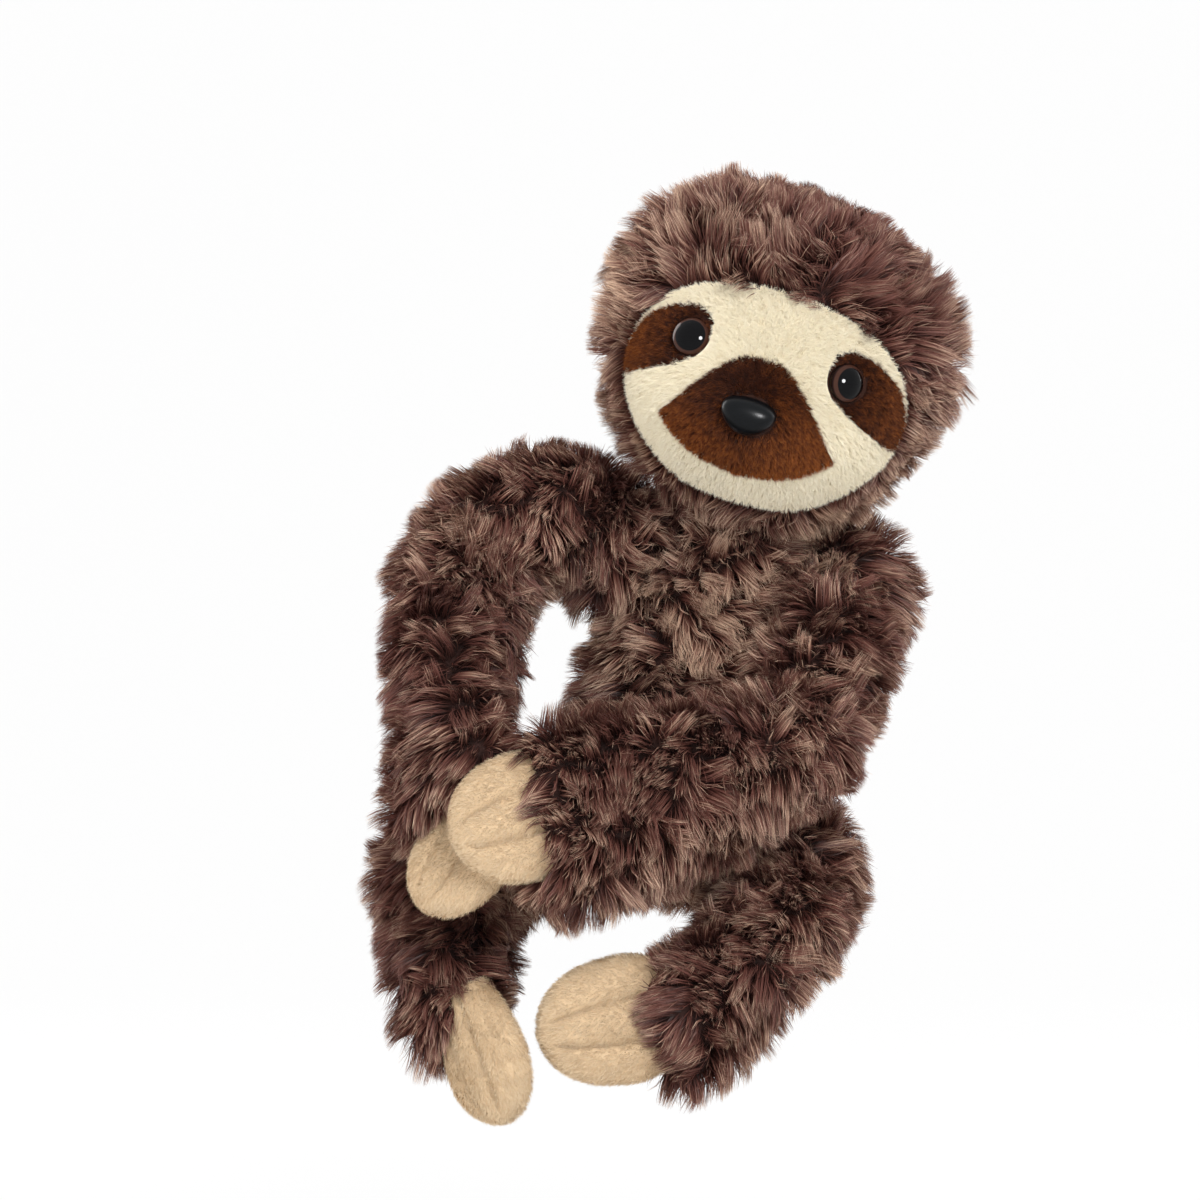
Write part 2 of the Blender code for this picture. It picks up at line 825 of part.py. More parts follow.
def make_trim(eye_look, nose_look, washer_look):
    pieces = []
    for name, x, z in post_places():
        if name == "nose":
            trim = dome(name, x, z, NOSE_WIDTH / 2, NOSE_DEPTH, NOSE_HEIGHT / 2, NOSE_TOP_SHARE)
        else:
            trim = dome(name, x, z, EYE_DIAMETER / 2, EYE_HEIGHT, EYE_DIAMETER / 2, 0)
        dress(trim, nose_look if name == "nose" else eye_look)
        washer = cut(washer_rod(x, z, WASHER_DIAMETER / 2, 0), post_rod(x, z, GAP, 2))
        washer.name = name.replace("eye", "eye_washer").replace("nose", "nose_washer")
        dress(washer, washer_look)
        pieces += [trim, washer]
    return pieces


def pivot(name, place, carrier=None):
    """An empty on a joint's axis. What hangs from it turns about that axis."""
    empty = bpy.data.objects.new(name, None)
    bpy.context.collection.objects.link(empty)
    empty.parent = carrier
    empty.location = place - (carrier.matrix_world.translation if carrier else Vector())
    bpy.context.view_layer.update()
    return empty


def hang(carrier, *pieces):
    """Parents the pieces to a pivot, with their origins on it and their shapes where they were."""
    for piece in pieces:
        piece.data.transform(Matrix.Translation(-carrier.matrix_world.translation))
        piece.parent = carrier


def main():
    clear_scene()
    fur = material("long_pile_brown", FUR_BROWN)
    fibre = material("fibre_filling", FIBRE_WHITE)
    beige = material("minky_beige", BEIGE)
    washer = material("washer_plastic", WASHER_WHITE)
    limbs = limb_plan()
    body = pivot("body_frame", Vector())
    hang(body, *make_torso(limbs, fur, fibre))
    neck = pivot("neck_pivot", NECK, body)
    head = make_head(fur, fibre)
    head += make_face(material("minky_cream", CREAM), material("minky_brown", MINKY_BROWN))
    head += make_trim(material("eye_plastic", EYE_BROWN), material("nose_plastic", NOSE_BLACK), washer)
    for piece in head:
        piece.data.transform(HEAD_FRAME)
    hang(neck, *head)
    for limb in limbs:
        opposite = next(other for other in limbs if other["paw"] == limb["paw"] and other is not limb)
        root = pivot(limb["root_joint"] + "_pivot_" + limb["side"], limb["root"], body)
        bend = pivot(limb["bend_joint"] + "_pivot_" + limb["side"], limb["bend"], root)
        hang(root, *make_sleeve(limb, "upper", opposite, fur, fibre))
        hang(bend, *make_sleeve(limb, "lower", opposite, fur, fibre), make_paw(limb, opposite, beige))


main()
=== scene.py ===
"""The looks of the plush sloth: long frosted pile, a minky face and paws, plastic eyes and a plastic nose.

Metres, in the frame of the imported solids: +Z up the pole, -Y to the camera, +X to the picture's right.
"""

import math

import bpy
import numpy as np
from mathutils import Matrix, Vector


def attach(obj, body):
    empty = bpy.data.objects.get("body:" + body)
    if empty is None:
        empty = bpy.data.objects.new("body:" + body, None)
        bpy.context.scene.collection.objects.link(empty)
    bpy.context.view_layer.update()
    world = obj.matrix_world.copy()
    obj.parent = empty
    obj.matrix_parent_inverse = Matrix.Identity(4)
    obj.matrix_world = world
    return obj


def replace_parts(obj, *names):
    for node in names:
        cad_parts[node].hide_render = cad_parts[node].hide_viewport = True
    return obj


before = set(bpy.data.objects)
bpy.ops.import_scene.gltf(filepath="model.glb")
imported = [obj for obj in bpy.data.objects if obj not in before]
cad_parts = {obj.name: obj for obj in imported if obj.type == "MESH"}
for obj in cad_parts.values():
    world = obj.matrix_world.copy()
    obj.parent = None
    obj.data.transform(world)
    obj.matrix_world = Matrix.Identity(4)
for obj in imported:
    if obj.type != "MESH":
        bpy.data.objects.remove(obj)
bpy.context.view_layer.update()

POLE_RADIUS = 0.0175
# A paw's largest half width, its half thickness and how far it starts inside the limb
PAW_HALF = 0.0212
PAW_THICK = 0.0066
PAW_TUCK = 0.0055
SCARCE = 1.0

# The long pile: how deep its roots lie under the solids' faces, its hairs, and their tufts and wisps
ROOT_DEPTH = 0.0060
PILE_LENGTH = 0.0140
HEAD_PILE_LENGTH = 0.0150
HAIR_WIDTH = 0.00030
HAIRS_PER_M2 = 2.4e6
MOST_HAIRS = 38000
TUFT_SIZE = 0.0064
TUFT_SPREAD = 0.95
WISP_SIZE = 0.0020
LOOSE_SHARE = 0.14
KNOTS = np.array([0, 0.36, 0.70, 1.0])
# Heights and widths along a hair, by how many points it has
HAIR_SHAPES = {
    4: (KNOTS, np.array([1.0, 0.95, 0.62, 0.0])),
    3: (np.array([0, 0.5, 1.0]), np.array([1.0, 0.5, 0.0])),
}

# The brushed pile of the face and the paws. Strewn is hair by hair and wisp by wisp, slant is its mean, its
# unevenness and its limit, and arch and drawn hold for a hair's middle and its tip.
BRUSHED_WISP = 0.0008
FACE_HAIRS = int(148000 * SCARCE)
FACE_STYLE = {
    "length": 0.0027,
    "uneven_length": (0.6, 1.15),
    "width": 0.00026,
    "strewn": (0.22, 0.26),
    "slant": (0.92, 0.20, 1.35),
    "sunk": 0.0,
    "arch": (0.16, 0.08),
    "drawn": (0.275, 0.55),
}
PAW_HAIRS_PER_M2 = 5.5e6
PAW_STYLE = {
    "length": 0.0019,
    "uneven_length": (0.7, 1.2),
    "width": 0.00024,
    "strewn": (0.25, 0.18),
    "slant": (1.05, 0.18, 1.4),
    "sunk": 0.0001,
    "arch": (0.1, 0.0),
    "drawn": (0.0, 0.5),
}
MUZZLE_RISE = 0.0009
EYE_PATCH_RISE = 0.0005
PATCH_EDGE = 0.0025
PATCH_SINK = 0.002

# The body and the head, mostly as in the solids
LEAN = math.radians(12)
UP = np.array([math.sin(LEAN), 0, math.cos(LEAN)])
SIDE = np.array([math.cos(LEAN), 0, -math.sin(LEAN)])
TORSO_BASE = np.array([0.034, 0.0568, -0.037])
TORSO_LENGTH = 0.140
TORSO_HALF_WIDTH = 0.044
TORSO_HALF_DEPTH = 0.039
NECK_RADIUS = 0.029
NECK = TORSO_BASE + UP * TORSO_LENGTH * 0.90
HEAD_SIZE = np.array([0.057, 0.052, 0.058])
SNOUT = {"reach": 0.013, "wide": 0.030, "high": 0.020, "drop": 0.024}
HEAD_ROOT_DEPTH = 0.0045
CROWN = np.array([-0.80, 0.15, 0.60]) / math.sqrt(1.0225)
EYE_SPREAD = 0.0268
EYE_DROP = -0.0035
EYE_TURNS = (math.radians(8), math.radians(17))
EYE_RADIUS = 0.0066
EYE_CURVE = 0.0086
NOSE_DROP = -0.0235
HEAD_FRAME = (
    Matrix.Translation(Vector(NECK) + Vector((0.0148, -0.0185, 0.0640)))
    @ Matrix.Rotation(math.radians(17), 4, "Y")
    @ Matrix.Rotation(math.radians(-5), 4, "Z")
)
HEAD_TURN = np.array(HEAD_FRAME.to_3x3())
HEAD_MIDDLE = np.array(HEAD_FRAME.translation)


def unit(vectors):
    length = np.linalg.norm(vectors, axis=-1, keepdims=True)
    return vectors / np.maximum(length, 1e-12)


def clamp(values):
    return np.clip(values, 0, 1)


def distance(first, second):
    return np.linalg.norm(first - second, axis=-1)


def spline(values, share):
    """A smooth curve through the values, at shares of the way along it."""
    values = np.asarray(values, float)
    last = len(values) - 1
    place = clamp(share) * last
    index = np.minimum(place.astype(int), last - 1)
    part = place - index
    before = values[np.maximum(index - 1, 0)]
    first, second = values[index], values[index + 1]
    after = values[np.minimum(index + 2, last)]
    slope_in, slope_out, rise = (second - before) / 2, (after - first) / 2, second - first
    return (
        first
        + slope_in * part
        + (3 * rise - 2 * slope_in - slope_out) * part**2
        + (slope_in + slope_out - 2 * rise) * part**3
    )


def away(points):
    """Level directions from the pole's axis to the points."""
    return unit(points * np.array([1, 1, 0]))


class Tube:
    """A stuffed tube along a path, with half widths across and outwards and with rounded ends."""

    def __init__(self, path, widths, depths, facing, start_dome=0.0, end_dome=0.0, blunt=2.0):
        self.path, self.widths, self.depths, self.facing = path, widths, depths, facing
        self.start_dome, self.end_dome, self.blunt = start_dome, end_dome, blunt

    def points(self, share, turn, grow):
        inner = clamp(share)
        step = 0.01
        low = np.clip(inner, step, 1 - step)
        tangent = unit(self.path(low + step) - self.path(low - step))
        centre = self.path(inner)
        out = self.facing(centre)
        out = unit(out - tangent * (out * tangent).sum(-1, keepdims=True))
        across = np.cross(tangent, out)
        factor = np.ones_like(inner)
        shift = np.zeros_like(inner)
        ends = ((self.start_dome, inner, 2, -1), (self.end_dome, 1 - inner, self.blunt, 1))
        for dome, way_in, power, sign in ends:
            if dome:
                part = clamp(1 - way_in / dome)
                factor *= np.sqrt(1 - part**power)
                shift += sign * part
        wide = (spline(self.widths, inner) + grow) * factor
        deep = (spline(self.depths, inner) + grow) * factor
        return (
            centre
            + tangent * (grow * shift)[..., None]
            + across * (wide * np.cos(turn))[..., None]
            + out * (deep * np.sin(turn))[..., None]
        )

    def grid(self, grow, steps=40, sides=48):
        share = np.linspace(0, 1, steps + 1)
        if self.start_dome and self.end_dome:
            share = (1 - np.cos(np.pi * share)) / 2
        elif self.end_dome:
            share = np.sin(np.pi / 2 * share)
        turn = np.arange(sides) * 2 * np.pi / sides
        points = self.points(share[:, None].repeat(sides, 1), turn[None].repeat(steps + 1, 0), grow)
        return grid_mesh(points)

    def depth(self, points):
        """How deep the points lie inside, roughly, with the tube taken as a row of balls."""
        share = np.linspace(0, 1, 17)
        centres = self.path(share)
        radii = (spline(self.widths, share) + spline(self.depths, share)) / 2
        if self.start_dome:
            radii[0] *= 0.3
        if self.end_dome:
            radii[-1] *= 0.3
        gaps = distance(points[:, None], centres)
        return (radii[None] - gaps).max(1)


def globe(tilt, sides):
    """Directions in rings round +Z, at these tilts from it."""
    tilt, turn = np.meshgrid(tilt, np.arange(sides) * 2 * np.pi / sides, indexing="ij")
    return np.stack([np.sin(tilt) * np.cos(turn), np.sin(tilt) * np.sin(turn), np.cos(tilt)], -1)


def grid_mesh(points):
    """Vertices and triangles of a grid that closes on itself, with a cap at each end."""
    rings, sides = points.shape[:2]
    vertices = points.reshape(-1, 3)
    ring, side = np.meshgrid(np.arange(rings - 1), np.arange(sides), indexing="ij")
    a = ring * sides + side
    b = ring * sides + (side + 1) % sides
    c, d = b + sides, a + sides
    faces = np.concatenate([np.stack([a, b, c], -1).reshape(-1, 3), np.stack([a, c, d], -1).reshape(-1, 3)])
    caps = []
    for start, flip in ((0, True), ((rings - 1) * sides, False)):
        middle = len(vertices)
        vertices = np.concatenate([vertices, vertices[start : start + sides].mean(0, keepdims=True)])
        low = start + np.arange(sides)
        high = start + (np.arange(sides) + 1) % sides
        order = (high, low) if flip else (low, high)
        caps.append(np.stack([np.full(sides, middle), *order], -1))
    return vertices, np.concatenate([faces, *caps])


def facing_out(vertices, faces):
    """The faces turned so that the closed mesh faces out, its vertices' normals and its faces' areas."""
    corners = vertices[faces]
    volume = np.einsum("ij,ij->i", corners[:, 0], np.cross(corners[:, 1], corners[:, 2])).sum()
    if volume < 0:
        faces = faces[:, ::-1]
        corners = vertices[faces]
    flat = np.cross(corners[:, 1] - corners[:, 0], corners[:, 2] - corners[:, 0])
    normals = np.zeros_like(vertices)
    for corner in range(3):
        np.add.at(normals, faces[:, corner], flat)
    return faces, unit(normals), np.linalg.norm(flat, axis=1) / 2


def new_object(name, data):
    obj = bpy.data.objects.new(name, data)
    bpy.context.collection.objects.link(obj)
    return obj


def mesh_object(name, vertices, faces, uv=None):
    mesh = bpy.data.meshes.new(name)
    mesh.vertices.add(len(vertices))
    mesh.vertices.foreach_set("co", np.asarray(vertices, np.float32).ravel())
    mesh.loops.add(faces.size)
    mesh.loops.foreach_set("vertex_index", np.asarray(faces, np.int32).ravel())
    mesh.polygons.add(len(faces))
    mesh.polygons.foreach_set("loop_start", np.arange(0, faces.size, faces.shape[1], dtype=np.int32))
    mesh.update(calc_edges=True)
    if uv is not None:
        layer = mesh.uv_layers.new(name="OFBake")
        layer.uv.foreach_set("vector", np.asarray(uv, np.float32).ravel())
    mesh.shade_smooth()
    return new_object(name, mesh)


def swell(x, z, middle, size):
    return np.exp(-(((x - middle[0]) / size[0]) ** 2) - ((z - middle[1]) / size[1]) ** 2)


def waves(points, size, seed):
    """Smooth noise, about -1 to 1, whose swells are about this size."""
    rng = np.random.default_rng(seed)
    total = np.zeros(len(points))
    for _ in range(9):
        way = unit(rng.normal(size=3)) * (2 * np.pi / size) * rng.uniform(0.6, 1.5)
        total += np.sin(points @ way + rng.uniform(0, 2 * np.pi))
    return total / 4


def fur_zones(points):
    """How much more or less the pile is frosted at x and z, as in the photograph. On the chest it is partly
    painted light: extra frost there lightens the shade that the head casts.
    """
    # The chest's zone, just under the head, is frosted partly for real and partly as painted light against
    # the head's shade
    zones = (
        ((0.024, 0.172), 0.022, 1.1),
        ((0.055, 0.198), 0.020, 0.5),
        ((0.088, 0.196), 0.024, -0.5),
        ((0.135, 0.150), 0.016, 0.8),
        ((0.118, 0.118), 0.018, 1.1),
        ((0.088, 0.092), 0.024, 1.4),
        ((0.045, 0.060), 0.026, 1.7),
        ((0.036, -0.030), 0.020, 0.8),
        ((0.062, -0.016), 0.018, 0.6),
        ((0.095, 0.040), 0.018, 0.4),
        ((0.066, -0.085), 0.018, 0.5),
        ((-0.045, 0.100), 0.020, 0.5),
        ((0.100, 0.165), 0.028, -0.5),
        ((0.050, 0.016), 0.026, -0.4),
        ((0.098, 0.060), 0.026, -0.5),
        ((-0.038, 0.050), 0.026, -0.5),
        ((-0.045, -0.060), 0.026, -0.5),
    )
    total = np.zeros(len(points))
    for place, size, gain in zones:
        total += gain * swell(points[:, 0], points[:, 2], place, (size, size))
    return total


def frost_of(points):
    """0 frosts half of the hairs, 1 most of them and -1 few."""
    return -0.75 + 0.55 * waves(points, 0.030, 5) + 0.45 * waves(points, 0.012, 6) + fur_zones(points)


def scatter(vertices, faces, normals, areas, count, rng):
    """Random places spread evenly over a mesh, with their normals."""
    picked = rng.choice(len(faces), count, p=areas / areas.sum())
    first, second = rng.random(count), rng.random(count)
    over = first + second > 1
    first[over], second[over] = 1 - first[over], 1 - second[over]
    shares = np.stack([1 - first - second, first, second], -1)[..., None]
    corners = faces[picked]
    return (vertices[corners] * shares).sum(1), unit((normals[corners] * shares).sum(1))


def nearest(points, centres, reach):
    """The index of the centre nearest to each point, looked for block by block."""
    low = points.min(0)
    cells = ((points - low) / reach).astype(np.int64)
    keys = (cells[:, 0] * 4096 + cells[:, 1]) * 4096 + cells[:, 2]
    order = np.argsort(keys, kind="stable")
    starts = np.flatnonzero(np.diff(keys[order], prepend=-1))
    found = np.empty(len(points), int)
    for block in np.split(order, starts[1:]):
        corner = low + cells[block[0]] * reach
        close = np.flatnonzero(((centres > corner - reach) & (centres < corner + 2 * reach)).all(1))
        if len(close) == 0:
            close = np.arange(len(centres))
        gaps = ((points[block][:, None] - centres[close][None]) ** 2).sum(2)
        found[block] = close[gaps.argmin(1)]
    return found


def gather(places, area, size, rng):
    """Groups of this size among the places: their middles, each place's own one and the way to it."""
    many = min(max(int(area / size**2), 4), len(places))
    middles = rng.choice(len(places), many, replace=False)
    own = nearest(places, places[middles], 2.5 * size)
    return middles, own, places[middles][own] - places


def tangent_part(ways, normals):
    return unit(ways - normals * (ways * normals).sum(1, keepdims=True))


def curves(roots, normals, flow, lift, length, curl):
    """The points of each hair, which leaves the skin at its lift, bends over to the flow and curls aside."""
    start = unit(normals * np.cos(lift)[:, None] + flow * np.sin(lift)[:, None])
    bent = unit(start + flow * 0.62 + np.array([0, 0, -0.18]))
    aside = np.cross(normals, flow) * (curl * length)[:, None]
    lines = []
    for level in KNOTS:
        part = start * (level - level**2 * 0.5) + bent * level**2 * 0.5
        lines.append(roots + part * length[:, None] + aside * level**2)
    return np.stack(lines, 1)


def drawn_in(lines, guides, pulled, closing, pull):
    """The lines pulled towards their guides, which they close in on by this share at the tip."""
    beside = guides - pulled[:, None] * (1 - closing * KNOTS)[:, None]
    return lines * (1 - pull) + beside * pull


def off_the_pole(lines):
    reach = np.linalg.norm(lines[..., :2], axis=2, keepdims=True)
    tight = np.clip(POLE_RADIUS + 0.0006 - reach, 0, None) / np.maximum(reach, 1e-6)
    return np.concatenate([lines[..., :2] * (1 + tight), lines[..., 2:]], -1)


def pile(name, places, normals, flow, length, rng, lift=0.46, dodge=None):
    """Hairs drawn into tufts and then into wisps. Their map holds frost across and root to tip upwards."""
    count = len(places)
    area = count / (HAIRS_PER_M2 * SCARCE)
    own_flow = tangent_part(flow + rng.normal(size=(count, 3)) * 0.42, normals)
    own_lift = np.clip(lift + rng.normal(size=count) * 0.28, 0.05, 1.25)
    own_length = length * rng.uniform(0.80, 1.08, count)
    lines = curves(places, normals, own_flow, own_lift, own_length, 0.0)
    loose = rng.random(count) < LOOSE_SHARE
    tone = rng.random(count) * 0.56

    middles, own, pulled = gather(places, area, TUFT_SIZE, rng)
    many = len(middles)
    turned = tangent_part(flow[middles] + rng.normal(size=(many, 3)) * TUFT_SPREAD, normals[middles])
    tuft_lift = np.clip(lift + rng.normal(size=many) * 0.34, 0.08, 1.15)
    tuft_length = length[middles] * rng.uniform(0.84, 1.16, many)
    curl = rng.normal(size=many) * 0.22
    guides = curves(places[middles], normals[middles], turned, tuft_lift, tuft_length, curl)
    tone += rng.random(many)[own] * 0.18
    pull = np.minimum(KNOTS * 2.2, 1) * np.where(loose, 0.25, 0.80)[:, None]
    lines = drawn_in(lines, guides[own], pulled, 0.30, pull[..., None])

    middles, own, pulled = gather(places, area, WISP_SIZE, rng)
    tone += rng.random(len(middles))[own] * 0.26
    pull = KNOTS**1.2 * np.where(loose, 0.10, 0.52)[:, None]
    lines = drawn_in(lines, lines[middles][own], pulled, 0.62, pull[..., None])

    lines = off_the_pole(lines if dodge is None else dodge(lines))
    shade = 0.5 + (frost_of(places) - (tone - 0.5) / 0.19) * 0.55
    parts = []
    for index, chunk in enumerate(np.array_split(np.arange(count), -(-count // MOST_HAIRS))):
        label = name if count <= MOST_HAIRS else "%s_%d" % (name, index + 1)
        parts.append(ribbons(label, lines[chunk], normals[chunk], HAIR_WIDTH, shade[chunk], rng))
    return parts


def ribbons(name, lines, normals, width, shade, rng):
    """Tapered ribbons along the hairs, with their own map: shade across, root to tip upwards."""
    count, levels = lines.shape[:2]
    shade = np.clip(shade, 0.02, 0.98)
    along = unit(np.gradient(lines, axis=1))
    side = unit(np.cross(along, normals[:, None]))
    lean = rng.uniform(-1.0, 1.0, count)[:, None, None]
    side = side * np.cos(lean) + np.cross(along, side) * np.sin(lean)
    heights, taper = HAIR_SHAPES[levels]
    half = (width / 2 * rng.uniform(0.75, 1.25, count))[:, None, None] * taper[None, :, None]
    edges = np.stack([lines - side * half, lines + side * half], 2).reshape(count, 2 * levels, 3)[:, :-1]
    tip = 2 * levels - 2
    triangles = []
    for low in range(0, tip - 2, 2):
        triangles += [(low, low + 1, low + 3), (low, low + 3, low + 2)]
    triangles.append((tip - 2, tip - 1, tip))
    faces = (np.arange(count)[:, None, None] * (tip + 1) + np.array(triangles)).reshape(-1, 3)
    across = np.tile(shade[:, None] + np.array([-0.01, 0.01]), levels)[:, :-1]
    across[:, -1] = shade
    upward = np.broadcast_to(0.02 + 0.96 * heights.repeat(2)[:-1], across.shape)
    flat = np.stack([across, upward], -1).reshape(-1, 2)
    return mesh_object(name, edges.reshape(-1, 3), faces, flat[faces.ravel()])


def brushed_lines(places, normals, flow, area, rng, style, shorter=1.0):
    """Short hairs laid down along the flow, each hair's wisp, and the number of wisps."""
    count = len(places)
    middles, own, pulled = gather(places, area, BRUSHED_WISP, rng)
    alone, together = style["strewn"]
    strewn = rng.normal(size=(count, 3)) * alone + rng.normal(size=(len(middles), 3))[own] * together
    laid = tangent_part(flow + strewn, normals)
    slant, uneven, flattest = style["slant"]
    tilt = np.clip(slant + rng.normal(size=count) * uneven, 0.3, flattest)[:, None]
    reach = (style["length"] * rng.uniform(*style["uneven_length"], count) * shorter)[:, None]
    way = unit(normals * np.cos(tilt) + laid * np.sin(tilt))
    lines = [places - normals * style["sunk"]]
    for share, arch, drawn in zip((0.5, 1.0), style["arch"], style["drawn"]):
        lines.append(places + (way * share + normals * arch) * reach + pulled * drawn)
    return np.stack(lines, 1), own, len(middles)


# Materials


def wire(tree, made, inputs):
    """Sets a node's inputs to values, or links them to sockets."""
    for key, value in inputs.items():
        if isinstance(value, bpy.types.NodeSocket):
            tree.links.new(value, made.inputs[key])
        else:
            made.inputs[key].default_value = value
    return made


def node(tree, kind, inputs, **settings):
    made = tree.nodes.new(kind)
    for key, value in settings.items():
        setattr(made, key, value)
    return wire(tree, made, inputs)


def shader(name, roughness, specular):
    made = bpy.data.materials.new(name)
    made.use_nodes = True
    principled = made.node_tree.nodes["Principled BSDF"]
    wire(made.node_tree, principled, {"Roughness": roughness, "Specular IOR Level": specular})
    return made, made.node_tree, principled


def ramp(tree, stops, source):
    made = node(tree, "ShaderNodeValToRGB", {"Fac": source})
    elements = made.color_ramp.elements
    while len(elements) < len(stops):
        elements.new(0.5)
    for element, (place, colour) in zip(elements, stops):
        element.position = place
        element.color = (*colour, 1)
    return made.outputs["Color"]


def mix(tree, factor, first, second):
    return node(tree, "ShaderNodeMix", {0: factor, 6: first, 7: second}, data_type="RGBA").outputs[2]


def bump(tree, height, strength, distance):
    inputs = {"Height": height, "Strength": strength, "Distance": distance}
    return node(tree, "ShaderNodeBump", inputs).outputs["Normal"]


def own_map(tree):
    """The width and the height of the mesh's own map."""
    chart = node(tree, "ShaderNodeUVMap", {}, uv_map="OFBake")
    split = node(tree, "ShaderNodeSeparateXYZ", {"Vector": chart.outputs["UV"]})
    return split.outputs["X"], split.outputs["Y"]


def noise(tree, scale, detail):
    place = node(tree, "ShaderNodeTexCoord", {}).outputs["Object"]
    inputs = {"Vector": place, "Scale": scale, "Detail": detail}
    return node(tree, "ShaderNodeTexNoise", inputs).outputs["Fac"]


def hair_material(name, dark_stops, pale_stops, roughness, specular):
    """Dark to pale hairs by the map's width, each from root to tip by its height."""
    made, tree, principled = shader(name, roughness, specular)
    across, upward = own_map(tree)
    colour = mix(tree, across, ramp(tree, dark_stops, upward), ramp(tree, pale_stops, upward))
    wire(tree, principled, {"Base Color": colour})
    return made


def speckled_material(name, stops, grain, relief, roughness, specular):
    """Colours spread by noise, whose scale and detail are given, and the same noise as a fine relief."""
    made, tree, principled = shader(name, roughness, specular)
    speck = noise(tree, *grain)
    wire(tree, principled, {"Base Color": ramp(tree, stops, speck), "Normal": bump(tree, speck, *relief)})
    return made


def cloth_material(name, colour, darker, scale, roughness, specular):
    stops = ((0.35, darker), (0.65, colour))
    return speckled_material(name, stops, (scale, 5), (0.35, 0.0004), roughness, specular)


def minky(name, colour, darker, dark, pale, roughness, specular):
    """A backing and its brushed pile, whose colours are given at the root, halfway and at the tip."""
    base = cloth_material(name, colour, darker, 900, 0.9, 0.15)
    dark, pale = (tuple(zip((0.0, 0.5, 1.0), colours)) for colours in (dark, pale))
    return base, hair_material(name + "_pile", dark, pale, roughness, specular)


FUR = hair_material(
    "long_pile_brown",
    (
        (0.0, (0.022, 0.008, 0.006)),
        (0.40, (0.097, 0.034, 0.027)),
        (0.8, (0.17, 0.064, 0.050)),
        (1.0, (0.23, 0.098, 0.078)),
    ),
    (
        (0.0, (0.024, 0.009, 0.007)),
        (0.40, (0.14, 0.054, 0.040)),
        (0.62, (0.40, 0.228, 0.160)),
        (1.0, (0.88, 0.65, 0.47)),
    ),
    0.50,
    0.14,
)
FUR_BASE = cloth_material("pile_backing", (0.040, 0.018, 0.015), (0.022, 0.010, 0.008), 400, 0.9, 0.1)
CREAM_BASE, CREAM_PILE = minky(
    "minky_cream",
    (0.93, 0.84, 0.63),
    (0.90, 0.80, 0.58),
    ((0.80, 0.69, 0.49), (0.90, 0.81, 0.61), (0.94, 0.86, 0.67)),
    ((0.88, 0.78, 0.59), (0.95, 0.88, 0.70), (0.98, 0.93, 0.79)),
    0.7,
    0.2,
)
BROWN_BASE, BROWN_PILE = minky(
    "minky_brown",
    (0.035, 0.010, 0.004),
    (0.020, 0.006, 0.003),
    ((0.010, 0.003, 0.002), (0.024, 0.006, 0.003), (0.045, 0.012, 0.006)),
    ((0.060, 0.016, 0.004), (0.19, 0.050, 0.011), (0.47, 0.142, 0.030)),
    0.6,
    0.08,
)
BEIGE_BASE, BEIGE_PILE = minky(
    "minky_beige",
    (0.70, 0.53, 0.34),
    (0.66, 0.49, 0.31),
    ((0.58, 0.43, 0.26), (0.67, 0.51, 0.33), (0.70, 0.55, 0.37)),
    ((0.66, 0.50, 0.32), (0.75, 0.60, 0.41), (0.84, 0.70, 0.52)),
    0.7,
    0.2,
)


def paint(obj, look):
    obj.data.materials.clear()
    obj.data.materials.append(look)


def dress(obj, look, body):
    paint(obj, look)
    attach(obj, body)
    return obj


# Limbs


def bow(start, end, push, rise):
    """A path from start to end whose middle is pushed away from the pole and raised."""
    start, end = np.array(start, float), np.array(end, float)
    middle = (start + end) / 2
    middle = middle + away(middle) * push + np.array([0, 0, rise])

    def path(share):
        share = np.asarray(share, float)[..., None]
        return start * (1 - share) ** 2 + middle * 2 * share * (1 - share) + end * share**2

    return path


def torso_path(share):
    return TORSO_BASE + UP * TORSO_LENGTH * np.asarray(share, float)[..., None]


def back(points):
    return np.broadcast_to(np.array([0, 1.0, 0]), points.shape)


PEAR = np.array((0.80, 0.98, 1.0, 0.92, 0.76, 0.58))
TORSO = Tube(torso_path, TORSO_HALF_WIDTH * PEAR, TORSO_HALF_DEPTH * PEAR, back, 0.24, 0.14)


def root(share, spread, side, forward=0.0):
    """Where a limb starts: shares of the torso's length and half width."""
    return torso_path(share) + SIDE * side * TORSO_HALF_WIDTH * spread + np.array([0, -forward, 0])


# The soft forms are a little fuller than the solids, and their bends a little softer. A paw has its root,
# its tip, how deep the root sinks into the limb, and its shares of PAW_HALF along its length.
PALM = (0.88, 1.00, 0.97, 0.86, 0.80)
NARROW_HEEL = (0.38, 0.74, 0.93, 0.90, 0.80)
PLACES = {
    "left": {
        "elbow": (0.0784, 0, 0.0180),
        "wrist": (-0.0156, -0.0457, -0.0064),
        "knee": (0.0736, 0.0078, -0.0402),
        "ankle": (0.0303, -0.0254, -0.0818),
        "hand": ((-0.0046, -0.0504, -0.0008), (-0.0348, -0.0532, -0.0113), 0.0068, PALM),
        "foot": ((0.0309, -0.0217, -0.0714), (-0.0069, -0.0257, -0.0775), 0.0050, PALM),
    },
    "right": {
        "elbow": (-0.0325, 0.0302, 0.0755),
        "wrist": (-0.0339, -0.0265, -0.0060),
        "knee": (-0.0374, 0.0244, -0.0300),
        "ankle": (-0.0328, -0.0097, -0.0846),
        "hand": ((-0.0245, -0.0296, -0.0010), (-0.0452, -0.0370, -0.0345), 0.0050, PALM),
        "foot": ((-0.0360, -0.0152, -0.0700), (-0.0180, -0.0226, -0.1066), 0.0085, NARROW_HEEL),
    },
}
